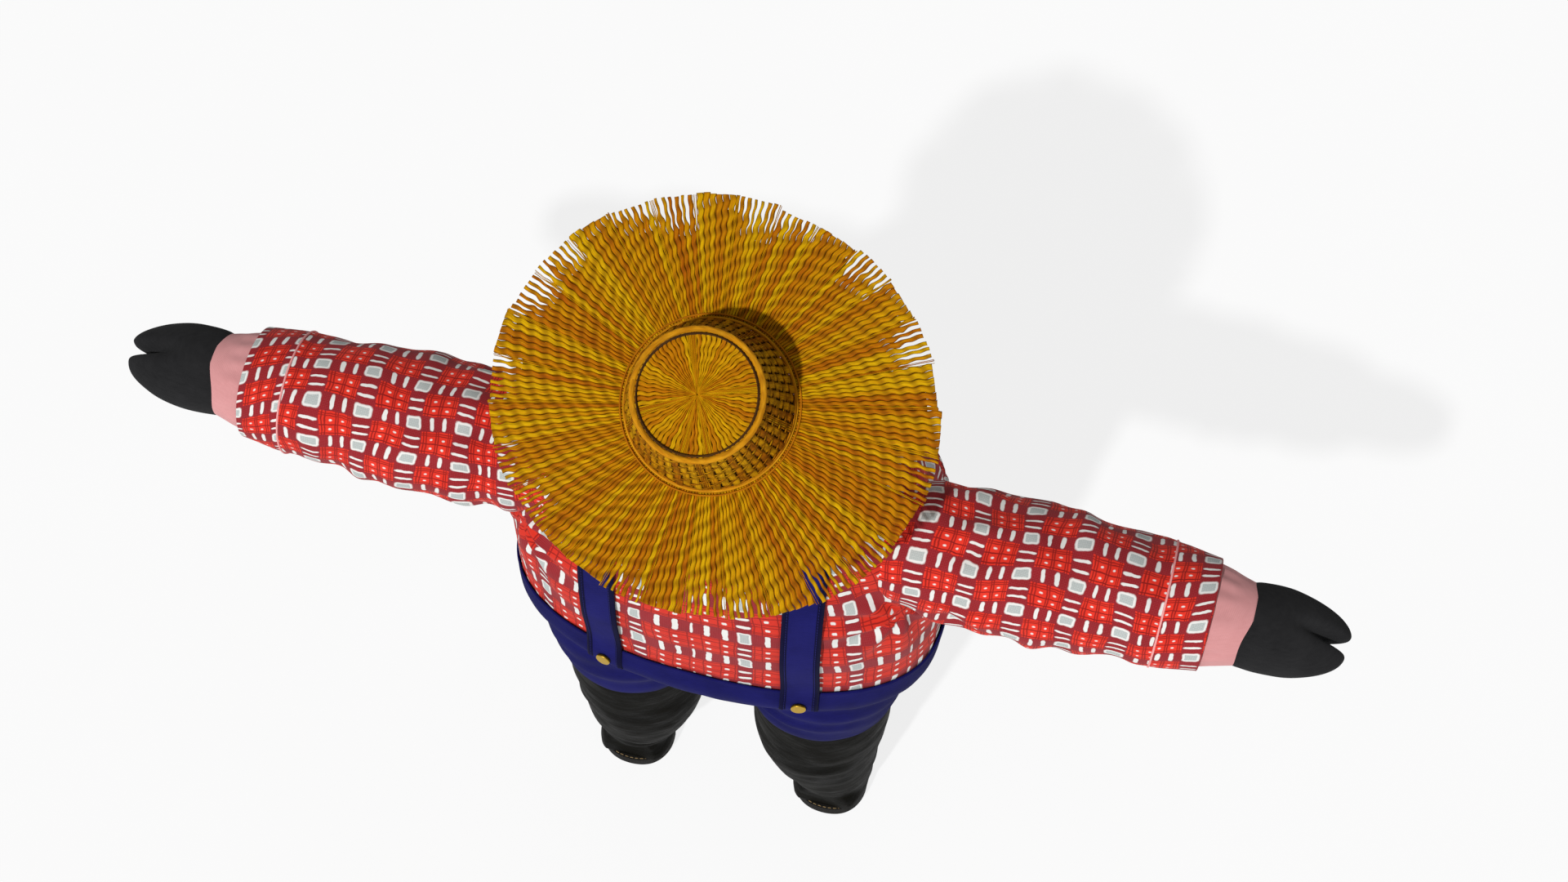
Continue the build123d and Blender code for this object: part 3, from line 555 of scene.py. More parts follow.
navy = twill("navy_twill", tone(16, 16, 68), tone(26, 26, 94), sheen=0.02)
navy_strap = twill("navy_strap", tone(18, 18, 76), tone(29, 29, 102), sheen=0.02, border=tone(9, 9, 46))
thread_navy = twill("thread_navy", tone(30, 30, 96), tone(44, 44, 118), grain=1500.0)
pink_cloth = twill("pink_cloth", tone(202, 140, 140), tone(216, 154, 154), 0.85, 900.0, 0.1)
piping = twill("piping", tone(226, 140, 142), tone(244, 172, 168), 0.8, 1500.0)
hoof_cloth = twill("hoof_cloth", tone(30, 30, 31), tone(44, 44, 45), 0.93, 1100.0, 0.02, 0.0003)
lining = twill("hat_lining", tone(52, 30, 6), tone(88, 56, 12), 0.95, 300.0)
band_cloth = twill("sweatband", tone(96, 66, 30), tone(122, 88, 44), 0.9, 500.0)
stuffing = twill("stuffing", tone(214, 205, 182), tone(232, 224, 204), 0.95, 300.0)
mouth_thread = twill("mouth_thread", tone(92, 36, 44), tone(120, 50, 58), 0.9, 1500.0)


def leather(name, dark, light, roughness, grain, gloss):
    """Worn boot leather: fine grain, creases and a dull coat."""
    f = Finish(name, roughness, Specular_IOR_Level=gloss)
    place = f.place()
    cells = f.node("ShaderNodeTexVoronoi", {"Vector": place, "Scale": grain}).outputs[0]
    creases = f.noise(f.stretched(place, (1.0, 1.0, 3.2)), 24.0, 5.0, 0.62, 0.6)
    worn = f.noise(place, 9.0, 4.0, 0.6)
    share = f.blended((creases, 0.55), (worn, 0.45))
    colour = f.mix(f.grey(share, (0.34, 0.0), (0.66, 1.0)), dark, light)
    rough = f.grey(creases, (0.3, roughness - 0.1), (0.7, roughness + 0.12))
    f.bump(f.plus(f.times(cells, 0.3), creases), 0.45, 0.0016)
    return f.done(colour, rough)


boot_leather = leather("boot_leather", tone(5, 5, 4), tone(17, 16, 12), 0.5, 420.0, 0.012)
sole_rubber = leather("sole_rubber", tone(16, 15, 15), tone(30, 28, 26), 0.75, 800.0, 0.1)
welt_thread = twill("welt_thread", tone(120, 100, 70), tone(150, 128, 92), 0.9, 1500.0)


STRAW_BEAT = 0.0165      # metres between the dark bands of painted shade along one straw
STRAW_SHIFT = 0.90       # how far the painted shade bands move on from one straw to the next, in radians


def straw_like(name, colours, groove, fibre, side_shade_share=0.16, dip_shade=0.0, shift=STRAW_SHIFT):
    """Straw: each strand has its own tone and fine fibres, with painted shade: dark slanting bands along it where
    it twists, and dark sides where it meets the next strand.
    """
    # groove is the dark colour of the painted shade at the straws' sides and twists, and also of the fine fibres.
    f = Finish(name, 0.78, Specular_IOR_Level=0.08)
    cloth = f.cloth_place()
    parts = f.node("ShaderNodeSeparateXYZ", {0: cloth}).outputs
    strand = f.math("FLOOR", parts[0])
    across = f.math("FRACT", parts[0])
    own = f.node("ShaderNodeTexWhiteNoise", {"W": strand}, noise_dimensions="1D").outputs[0]
    spot = f.node("ShaderNodeCombineXYZ", {
        0: f.times(parts[0], 3.0), 1: f.times(parts[1], 42.0), 2: strand,
    }).outputs[0]
    mottle = f.noise(spot, 1.0, 3.0, 0.6)
    thread_spot = f.node("ShaderNodeCombineXYZ", {
        0: f.times(parts[0], fibre), 1: f.times(parts[1], 30.0), 2: strand,
    }).outputs[0]
    threads = f.noise(thread_spot, 1.0, 2.0, 0.7)
    share = f.blended((mottle, 0.62), (own, 0.38))
    colour = f.ramp(share, list(zip((0.26, 0.4, 0.52, 0.68), colours)))
    colour = f.mix(f.grey(threads, (0.42, 0.0), (0.72, 0.55)), colour, groove)
    # Painted shade: dark slanting bands along each straw, standing in for the shade in its twists.
    turned = f.times(strand, shift)
    beat = f.plus(f.math("DIVIDE", parts[1], STRAW_BEAT / (2 * pi)), turned)
    slant = f.plus(beat, f.times(across, 1.9))
    wave = f.math("SINE", f.plus(slant, f.times(mottle, 2.0)))
    dip_shade_mask = f.grey(f.math("MULTIPLY_ADD", wave, 0.5, 0.5), (0.30, 0.0), (1.0, dip_shade))
    colour = f.mix(dip_shade_mask, colour, groove)
    # Painted shade: each straw darkens towards its sides, standing in for the shade between neighbouring straws.
    side = f.math("ABSOLUTE", f.minus(across, 0.5))
    edge = f.grey(side, (0.5 - side_shade_share, 0.0), (0.5, 0.85))
    colour = f.mix(edge, colour, groove)
    f.bump(f.plus(threads, f.times(mottle, 0.5)), 0.35, 0.0009)
    return f.done(colour)


# The dark colour after each straw's four tones is the colour of its painted shade.
straw = straw_like("straw", (
    tone(180, 94, 2), tone(194, 122, 0), tone(208, 146, 0), tone(220, 172, 2),
), tone(84, 38, 0), 9.0, 0.21, 0.42)
straw_top = straw_like("straw_top", (
    tone(184, 102, 2), tone(198, 126, 0), tone(210, 148, 0), tone(220, 168, 2),
), tone(90, 42, 0), 9.0, 0.19, 0.22, 2.4)
# The crown's wall straw is a darker copy of the brim's straw: painted shade for the wall, which stands in shadow.
straw_wall_shaded = straw_like("straw_wall_shaded", (
    tone(160, 90, 2), tone(178, 112, 2), tone(192, 132, 2), tone(204, 150, 8),
), tone(64, 32, 2), 9.0, 0.2, 0.45)
straw_ring = straw_like("straw_ring", (
    tone(176, 104, 8), tone(190, 120, 8), tone(202, 134, 12), tone(214, 150, 24),
), tone(110, 56, 4), 5.0, 0.05)


def wood(name, dark, light):
    """Planed pine with long grain."""
    f = Finish(name, 0.7)
    place = f.place()
    rings = f.node("ShaderNodeTexWave", {
        "Vector": place, "Scale": 22.0, "Distortion": 5.0, "Detail": 3.0, "Detail Scale": 2.0,
    }, wave_type="RINGS").outputs[1]
    streaks = f.noise(f.stretched(place, (30.0, 30.0, 1.5)), 9.0, 4.0)
    f.bump(streaks, 0.2, 0.0006)
    return f.done(f.mix(f.mix(streaks, rings, rings), dark, light))


def metal(name, dark, light, roughness, pits):
    """Metal with small dents and a dull film."""
    f = Finish(name, roughness, Metallic=1.0)
    place = f.place()
    film = f.noise(place, pits, 4.0, 0.6)
    dents = f.node("ShaderNodeTexVoronoi", {"Vector": place, "Scale": pits * 3}).outputs[0]
    f.bump(f.plus(film, f.times(dents, 0.4)), 0.25, 0.0005)
    rough = f.grey(film, (0.3, roughness - 0.08), (0.7, roughness + 0.15))
    return f.done(f.mix(film, dark, light), rough)


def moulded(name, dark, light, roughness, coat=0.0):
    """Moulded plastic with faint flow marks."""
    f = Finish(name, roughness, Coat_Weight=coat, Coat_Roughness=0.1)
    place = f.place()
    flow = f.noise(place, 120.0, 3.0)
    f.bump(f.noise(place, 900.0, 2.0), 0.12, 0.0002)
    return f.done(f.mix(flow, dark, light), f.grey(flow, (0.3, roughness), (0.7, roughness + 0.1)))


SLOT_FINISH = {
    "timber": wood("pine", tone(176, 130, 76), tone(214, 172, 116)),
    "steel": metal("zinc_steel", tone(150, 152, 154), tone(196, 198, 200), 0.38, 260.0),
    "stuffing": stuffing,
    "plaid_shirt": plaid_body,
    "shirt_button": moulded("shirt_button", tone(224, 218, 200), tone(240, 236, 222), 0.35, 0.3),
    "navy_cloth": navy,
    "brass": metal("brass", tone(166, 128, 30), tone(206, 172, 62), 0.34, 300.0),
    "boot_leather": boot_leather,
    "boot_sole": sole_rubber,
    "pink_cloth": pink_cloth,
    "hoof_black": hoof_cloth,
    "eye_black": moulded("eye_black", tone(12, 11, 12), tone(22, 20, 20), 0.12, 0.6),
    "straw": straw,
    "straw_edge": straw_ring,
    "hat_lining": lining,
}
SLOT_OF = {entry["node"]: entry["material_slot"] for entry in frame["record"]["subparts"]}
for name, obj in nodes.items():
    finish = SLOT_FINISH[SLOT_OF[name]]
    if name == "hat_sweatband":
        finish = band_cloth
    obj.data.materials.clear()
    obj.data.materials.append(finish)

# ---- Shirt: the trunk -------------------------------------------------------------------

SHIRT_HEM_Z = 0.618      # the shirt ends inside the shorts
CHEST_Z = 0.740          # where the plaid's upright stripes are measured
PLAID_TURN = 0.068       # puts the wide stripes beside the braces, not under them
WAIST_ROW, SHOULDER_ROW, NECK_ROW = 5.0, 12, 15      # rows of TRUNK
SHIRT_COLUMNS = 300


def bulged(wave, power):
    """A sine or cosine with fuller or slimmer sides, for ovals that are not ellipses."""
    return np.sign(wave) * np.abs(wave) ** power


def trunk_points(row_numbers, turns, grow=0.0):
    """Points on the trunk: one row for each height, one column for each turn from the back."""
    rows = between(TRUNK, row_numbers)
    height, half_width, front, back = (rows[:, i, None] for i in range(4))
    across = bulged(np.sin(turns), 2 / TRUNK_OVAL)
    along = bulged(np.cos(turns), 2 / TRUNK_OVAL)
    depth = np.where(along > 0, back, front)
    return stacked((half_width + grow) * across, BODY_Y + (depth + grow) * along, height)


def even_turns(count):
    """Turns round the trunk with even steps along the cloth at the waist, from the back's middle."""
    dense = np.linspace(0, 2 * pi, 4001)
    length = lengths_along(trunk_points(np.array([WAIST_ROW]), dense)[0])
    return np.interp(np.linspace(0, length[-1], count + 1), length, dense)


def arc_uv(points, middle_column):
    """Lengths along the cloth, across from one column and up from the first row."""
    steps = np.linalg.norm(np.diff(points, axis=1), axis=-1)
    across = np.concatenate([np.zeros((len(points), 1)), np.cumsum(steps, axis=1)], axis=1)
    across -= across[:, middle_column:middle_column + 1]
    rise = np.linalg.norm(np.diff(points, axis=0), axis=-1)[:, middle_column]
    along = np.concatenate([[0], np.cumsum(rise)])
    return stacked(across, along[:, None])


# The seam of the grid lies in front, under the button strip, so the turns start there.
half = SHIRT_COLUMNS // 2
turns = np.roll(even_turns(SHIRT_COLUMNS)[:-1], half)
turns[:half] -= 2 * pi
row_numbers = np.concatenate([
    np.linspace(row_at(TRUNK, SHIRT_HEM_Z), SHOULDER_ROW, 130, endpoint=False),
    np.linspace(SHOULDER_ROW, NECK_ROW, 40),
])
shirt_points = trunk_points(row_numbers, turns)
closed_points = np.concatenate([shirt_points, shirt_points[:, :1]], axis=1)
shirt_uv = arc_uv(closed_points, half)
# The cloth is cut square: its upright stripes keep their place and draw together at the neck.
chest_row = np.argmin(np.abs(shirt_points[:, 0, 2] - CHEST_Z))
shirt_uv[..., 0] = shirt_uv[chest_row, :, 0] + PLAID_TURN
out = grid_normals(shirt_points, True)
height = shirt_points[..., 2]
drape = 0.0022 * bumps(shirt_points, 11.0) + 0.0010 * bumps(shirt_points, 34.0, 5.0)
gathers = np.sin(turns[None] * 46 + 3 * bumps(shirt_points, 20.0, 9.0))
drape += 0.0012 * gathers * np.exp(-np.maximum(height - WAIST_Z, 0) / 0.03)
# Folds fan out from each armpit, deeper at the back.
for name, side in SIDES:
    gap = shirt_points - np.array((side * 0.236, 0.085, 0.835))
    far = np.linalg.norm(gap, axis=-1)
    fan = np.arctan2(gap[..., 2], -side * gap[..., 0] + 0.4 * gap[..., 1])
    drape += 0.0055 * np.exp(-(far / 0.10) ** 1.5) * np.sin(fan * 9) * ramp(far / 0.03)
    gap = shirt_points - np.array((side * 0.225, -0.10, 0.83))
    far = np.linalg.norm(gap, axis=-1)
    fan = np.arctan2(gap[..., 2], gap[..., 1])
    drape += 0.004 * np.exp(-(far / 0.09) ** 1.5) * np.sin(fan * 7)
drape *= np.clip((height - 0.632) / 0.03, 0.15, 1)
drape = np.where(height < WAIST_Z, np.minimum(drape, 0.0005), drape)
shirt_points = shirt_points + out * drape[..., None]
shirt = Pile().grid(shirt_points, uv=shirt_uv).build("shirt", plaid_body, "plaid_shirt")
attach(shirt, "figure")
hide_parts("shirt_body", "torso_stuffing")

# ---- Sleeves, cuffs, seams, wrists and hooves ---------------------------------------------


CUFF_LONG = 0.054        # from the cuff's seam to its edge
SLEEVE_START = 0.190     # the sleeve's cloth begins inside the shirt


def arm_grid(side, place, outs, radii, columns):
    """Rings round the arm, one for each distance out. The seam of the grid lies underneath."""
    turn = around(columns) - pi / 2
    return stacked(
        side * outs[:, None], place["y"] + radii[:, None] * np.cos(turn),
        place["z"] + radii[:, None] * np.sin(turn),
    )


def puffed(rings, place, rise):
    """Rings round the arm, moved outwards by rise."""
    away = rings * np.array((0, 1, 1)) - np.array((0, place["y"], place["z"]))
    return rings + away / np.linalg.norm(away, axis=-1, keepdims=True) * rise[..., None]


def arm_uv(side, rings, outs, shift_u, shift_v):
    """The plaid on the arm: the first way along it, the second round it from on top."""
    closed = np.concatenate([rings, rings[:, :1]], axis=1)
    round_it = arc_uv(closed, rings.shape[1] // 2)[..., 0]
    return stacked(side * outs[:, None] + shift_u, round_it + shift_v)


def sleeve_radius(outs):
    return between(SLEEVE, row_at(SLEEVE, outs))[..., 1]


for name, side in SIDES:
    place = ARM[name]
    body = f"arm_{name}"
    seam_x = place["cuff"] - CUFF_LONG

    def creases(points, outs):
        """Folds of the sleeve: soft slanting waves, deeper at the shoulder and under the arm."""
        turn = np.arctan2(points[..., 2] - place["z"], points[..., 1] - place["y"])
        x = outs[:, None]
        wander = bumps(points, 9.0, 3.0 + side)
        folds = 0.0030 * np.sin(x * 105 + 2.2 * wander + 1.3 * np.sin(turn + side))
        folds *= 0.35 + 0.65 * ramp(0.3 - np.sin(turn))
        folds += 0.0028 * np.sin(x * 38 + turn * 2 + wander * 2)
        folds += 0.0040 * hump(x, 0.30, 0.03) * np.sin(turn * 9 + wander * 3)
        return folds + 0.0012 * bumps(points, 40.0, 8.0)

    outs = np.linspace(SLEEVE_START, seam_x, 120)
    rings = arm_grid(side, place, outs, sleeve_radius(outs), 128)
    uv = arm_uv(side, rings, outs, 0.011, 0.02)
    fade = ramp((seam_x - outs) / 0.02) * ramp((outs - 0.2) / 0.05)
    rings = puffed(rings, place, creases(rings, outs) * fade[:, None])
    pile = Pile().grid(rings, uv=uv, flip=side < 0)
    sleeve = pile.build(f"shirt_sleeve_{name}", plaid_sleeve, "plaid_shirt")
    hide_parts(f"sleeve_{name}", f"arm_stuffing_{name}")
    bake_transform(sleeve)

    # The cuff's cloth turns in at its edge and ends inside.
    outs = np.concatenate([
        np.linspace(seam_x, place["cuff"], 28), place["cuff"] + np.array((0.0006, 0.0002)),
        place["cuff"] - np.array((0.002, 0.006, 0.012)),
    ])
    radii = sleeve_radius(np.minimum(outs, place["cuff"]))
    radii[-5:] -= np.array((0.0010, 0.0022, 0.0028, 0.0030, 0.0032))
    rings = arm_grid(side, place, outs, radii, 128)
    uv = arm_uv(side, rings, outs, 0.034, 0.005)
    ripple = 0.0014 * bumps(rings, 16.0, 2.0) * ramp((outs - seam_x) / 0.01)[:, None]
    rings = puffed(rings, place, ripple)
    pile = Pile().grid(rings, uv=uv, flip=side < 0)
    cuff = pile.build(f"cuff_{name}", plaid_cuff, "plaid_shirt")
    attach(cuff, body)

    # Piping along the seam between sleeve and cuff.
    turn = around(160)
    ring_r = float(sleeve_radius(np.array([seam_x]))[0]) + 0.0004
    ring = stacked(
        side * seam_x, place["y"] + ring_r * np.cos(turn), place["z"] + ring_r * np.sin(turn)
    )
    loop = np.concatenate([ring, ring[:1]])
    cord_grid = tube(loop, 0.0013, 8, up=(side, 0, 0))
    cord_grid[-1] = cord_grid[0] = (cord_grid[0] + cord_grid[-1]) / 2
    trim = Pile().grid(cord_grid).build(f"piping_{name}", piping, "pink_cloth")
    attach(trim, body)

    # The wrist: a soft tube that narrows into the hoof, cut on the slant by it.
    outs = np.linspace(place["cuff"] - 0.020, place["hoof"] + 0.010, 40)
    radii = np.interp(
        outs, (place["cuff"] - 0.02, place["cuff"], 0.598, place["hoof"] + 0.01),
        (0.0605, 0.0600, 0.0555, 0.0480),
    )
    rings = arm_grid(side, place, outs, radii, 96)
    turn = np.arctan2(rings[..., 2] - place["z"], rings[..., 1] - place["y"])
    pucker = 0.0010 * np.sin(turn * 14 + 2 * bumps(rings, 18.0)) + 0.0012 * bumps(rings, 24.0, 4.0)
    pucker *= ramp((place["hoof"] - 0.004 - outs) / 0.016)[:, None]
    rings = puffed(rings, place, pucker)
    pile = Pile().grid(rings, caps=True, flip=side < 0)
    wrist = pile.build(f"wrist_cloth_{name}", pink_cloth, "pink_cloth")
    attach(wrist, body)
    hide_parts(f"wrist_{name}")

    # The hoof: a stuffed mitt with two toes side by side.
    # Distance out, half width and half height.
    shape = np.array((
        (0.0, 0.0490, 0.0465), (0.010, 0.0512, 0.0475), (0.030, 0.0528, 0.0462),
        (0.055, 0.0522, 0.0410), (0.080, 0.0468, 0.0340), (0.102, 0.0380, 0.0250),
        (0.118, 0.0275, 0.0165), (0.126, 0.0160, 0.0090), (0.1275, 0.0020, 0.0012),
    ))
    long = place["tip"] - place["hoof"]
    where = evenly(shape, 90)
    outs = place["hoof"] + where[:, 0] * long / shape[-1, 0]
    turn = around(128) + 0.0245
    y = where[:, 1, None] * bulged(np.cos(turn), 0.9)[None]
    z = where[:, 2, None] * np.sin(turn)[None]
    reach = ramp((where[:, 0] - 0.050) / 0.075)[:, None]
    groove = hump(y, 0, 0.0065)
    x = np.broadcast_to(outs[:, None], y.shape) - 0.030 * reach ** 1.6 * groove
    z = z * (1 - 0.34 * reach ** 0.8 * hump(y, 0, 0.010))
    slant = 0.006 * np.cos(turn)[None] * (1 - ramp(where[:, 0] / 0.05))[:, None]
    x = x - slant - 0.0035 * (y > 0) * reach ** 2
    points = stacked(side * x, place["y"] + y, place["z"] + z)
    push = grid_normals(points, True) * (-side)
    points = points + push * (0.0008 * bumps(points, 30.0, 1.0))[..., None]
    pile = Pile().grid(points, caps=True, flip=side > 0)
    hoof = pile.build(f"hoof_mitt_{name}", hoof_cloth, "hoof_black")
    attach(hoof, body)
    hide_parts(f"hoof_{name}")

# ---- Shorts -----------------------------------------------------------------------------

legs = around(120)
hips = Pile()
hip_rows = np.linspace(0, row_at(TRUNK, 0.66), 50)
hips.grid(trunk_points(hip_rows, legs, 0.0042), caps=True, flip=True)
height, out, back, half_width, half_depth = evenly(THIGH, 24).T[..., None]
for name, side in SIDES:
    hips.grid(stacked(
        side * out + (half_width + 0.0036) * np.cos(legs),
        back + (half_depth + 0.0036) * np.sin(legs), height,
    ), caps=True)
shorts = hips.build("shorts_cloth", navy, "navy_cloth")
softened(shorts, 0.004, 10)


def shorts_folds(points, normals):
    """Slack folds that run from the crotch outwards, and ripples at the hems."""
    x, y, z = points.T
    wander = bumps(points, 10.0, 7.0)
    folds = 0.0030 * np.sin(z * 120 + np.abs(x) * 26 + wander * 3)
    folds *= hump(z, 0.520, 0.055) * ramp(1.2 - np.abs(x) / 0.26)
    folds += 0.0018 * wander + 0.0008 * bumps(points, 34.0, 2.0)
    folds *= ramp((WAIST_Z - z) / 0.02)
    return points + normals * folds[:, None]


moved(shorts, shorts_folds)


def trimmed(obj, low, high):
    """Opens the ends: takes away the faces beyond the two heights and evens the edges."""
    mesh = obj.data
    points = np.array([v.co for v in mesh.vertices])
    heights = [sum(points[i][2] for i in p.vertices) / len(p.vertices) for p in mesh.polygons]
    keep = [p for p, height in zip(mesh.polygons, heights) if low < height < high]
    used = sorted({i for p in keep for i in p.vertices})
    number = {old: new for new, old in enumerate(used)}
    points = points[used]
    faces = [[number[i] for i in p.vertices] for p in keep]
    ends = {}
    for face in faces:
        for a, b in zip(face, face[1:] + face[:1]):
            key = (min(a, b), max(a, b))
            ends[key] = ends.get(key, 0) + 1
    rim = {i for key, count in ends.items() if count == 1 for i in key}
    for i in rim:
        points[i][2] = low if points[i][2] < (low + high) / 2 else high
    made = bpy.data.meshes.new(obj.name)
    made.from_pydata(points.tolist(), [], faces)
    made.materials.append(mesh.materials[0])
    swapped(obj, made)


trimmed(shorts, HEM_Z + 0.0005, WAIST_Z - 0.0005)
modified(shorts, "SOLIDIFY", thickness=0.0024, offset=-1.0)
smoothed(shorts.data)
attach(shorts, "figure")
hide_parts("shorts")

# ---- Braces and the shirt's button strip: cloth strips along the body --------------------------


def strip_line(tree, x, centre, low, high):
    """The outer line of a CAD strip in the plane across X, from its front end to its back end."""
    found = []
    for angle in np.linspace(low, high, 420):
        way = Vector((0, sin(angle), cos(angle)))
        start = Vector((x, centre[0], centre[1])) + way * 0.6
        hit = tree.ray_cast(start, -way, 0.6)[0]
        if hit is not None:
            found.append(tuple(hit))
    return np.array(found)


def resampled(line, count):
    """The line with evenly spaced points, and its length."""
    steps = lengths_along(line)
    return points_at(line, steps, np.linspace(0, steps[-1], count)), steps[-1]


def strip(node_name, x_low, x_high, columns, count, centre, low, high):
    """A grid over the outside of a CAD strip, its normals and its length."""
    tree = surface_of(node_name)
    lines, lengths = [], []
    for x in np.linspace(x_low, x_high, columns):
        line, length = resampled(strip_line(tree, x, centre, low, high), count)
        lines.append(line)
        lengths.append(length)
    points = np.stack(lines, axis=1)
    kernel = np.ones(5) / 5
    for i in (1, 2):
        for c in range(columns):
            padded = np.pad(points[:, c, i], 2, mode="edge")
            points[2:-2, c, i] = np.convolve(padded, kernel, "valid")[2:-2]
    normals = grid_normals(points, False)
    outward = points - np.array((0, centre[0], centre[1]))
    outward[..., 0] = 0
    flip = np.sign((normals * outward).sum(-1, keepdims=True))
    return points, normals * flip, sum(lengths) / columns


def thick_strip(points, normals, rise, thickness):
    """A closed band: the outside lifted by rise, and the inside below it."""
    top = points + normals * rise[..., None]
    under = points - normals * thickness
    return np.concatenate([top, under[:, ::-1]], axis=1)


STITCH_PACE, STITCH_LONG = 0.0062, 0.0040


def sewn(points, normals, seams, lift, thick):
    """Rows of small raised stitches along a strip, each between two columns of its grid."""
    pile = Pile()
    bow = np.array((-0.0003, 0.0004, 0.0004, -0.0003))
    for seam in seams:
        low = int(seam)
        part = seam - low
        line = points[:, low] * (1 - part) + points[:, low + 1] * part
        up = normals[:, low] * (1 - part) + normals[:, low + 1] * part
        steps = lengths_along(line)
        for start in np.arange(STITCH_PACE, steps[-1] - STITCH_PACE, STITCH_PACE):
            path = points_at(line, steps, start + np.linspace(0, STITCH_LONG, 4))
            n = np.array([np.interp(start, steps, up[:, i]) for i in range(3)])
            path = path + n * (lift + bow)[:, None]
            pile.grid(tube(path, np.array((0.6, 1, 1, 0.6)) * thick, 5, up=n), caps=True)
    return pile


for name, side in SIDES:
    node_name = f"strap_{name}"
    low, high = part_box(node_name)
    points, normals, length = strip(
        node_name, low.x + 0.0012, high.x - 0.0012, 13, 210, (0.0, 0.78), -2.6, 2.6
    )
    share = np.abs(np.linspace(-1, 1, 13))
    rise = 0.0004 + 0.0010 * ramp((share - 0.70) * 8) - 0.0012 * (share > 0.97)
    rise = rise[None] + 0.0006 * bumps(points, 22.0, side)
    pile = Pile().grid(thick_strip(points, normals, rise, 0.0019), caps=True)
    strap = pile.build(f"brace_{name}", navy_strap, "navy_cloth")
    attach(strap, "figure")
    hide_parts(node_name)
    sewing = sewn(points, normals, (1.5, 10.5), 0.0015, 0.00045)
    thread = sewing.build(f"brace_stitches_{name}", thread_navy, "navy_cloth")
    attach(thread, "figure")

low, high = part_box("shirt_placket")
points, normals, length = strip(
    "shirt_placket", low.x + 0.001, high.x - 0.001, 9, 110, (0.0, 0.74), -2.6, 0.0
)
share = np.abs(np.linspace(-1, 1, 9))
rise = 0.0003 + 0.0008 * ramp((share - 0.6) * 6) - 0.0010 * (share > 0.97)
solid = thick_strip(points, normals, rise[None] + 0 * points[..., 0], 0.0020)
run = np.linspace(0, length, len(points))
cross = np.concatenate([np.linspace(0, 0.034, 9), np.linspace(0.034, 0, 9), [0]])
uv = stacked(cross + 0.104, run[:, None] + 0.012)
placket = Pile().grid(solid, uv=uv, caps=True).build("placket", plaid_body, "plaid_shirt")
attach(placket, "figure")
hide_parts("shirt_placket")
sewing = sewn(points, normals, (1.0, 7.0), 0.0012, 0.0004)
thread = sewing.build("placket_stitches", piping, "plaid_shirt")
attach(thread, "figure")

# ---- Collar -------------------------------------------------------------------------------

low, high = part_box("collar")
centre = (low + high) / 2
# The folded collar cut across: distance from the neck's line and height.
profile = np.array((
    (0.0525, 0.0000), (0.0540, 0.0080), (0.0565, 0.0165), (0.0595, 0.0200), (0.0635, 0.0200),
    (0.0700, 0.0165), (0.0790, 0.0110), (0.0875, 0.0055), (0.0882, 0.0035), (0.0868, 0.0030),
    (0.0780, 0.0085), (0.0690, 0.0140), (0.0625, 0.0172), (0.0595, 0.0170), (0.0575, 0.0140),
    (0.0560, 0.0070), (0.0545, 0.0000),
))
ring = evenly(profile, 64)
sweep = np.linspace(radians(-90 + 9), radians(270 - 9), 150)
near_front = ramp(1 - np.minimum(sweep - sweep[0], sweep[-1] - sweep) / 0.5)[:, None]
flare = ramp((ring[:, 0] - 0.058) / 0.03)
r = ring[:, 0] + near_front * 0.010 * flare
wave = 0.0016 * np.sin(sweep * 5)[:, None] * flare
points = stacked(
    centre.x + r * np.cos(sweep)[:, None], centre.y + r * np.sin(sweep)[:, None],
    low.z + ring[:, 1] + wave - near_front * 0.004 * flare,
)
steps = np.append(lengths_along(ring), 0.15)
uv = stacked(steps, (sweep - sweep[75])[:, None] * 0.075)
collar = Pile().grid(points, uv=uv, caps=True).build("collar_cloth", plaid_sleeve, "plaid_shirt")
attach(collar, "figure")
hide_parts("collar")

# ---- Boots --------------------------------------------------------------------------------

WELT_PACE, WELT_LONG = 0.0075, 0.0052

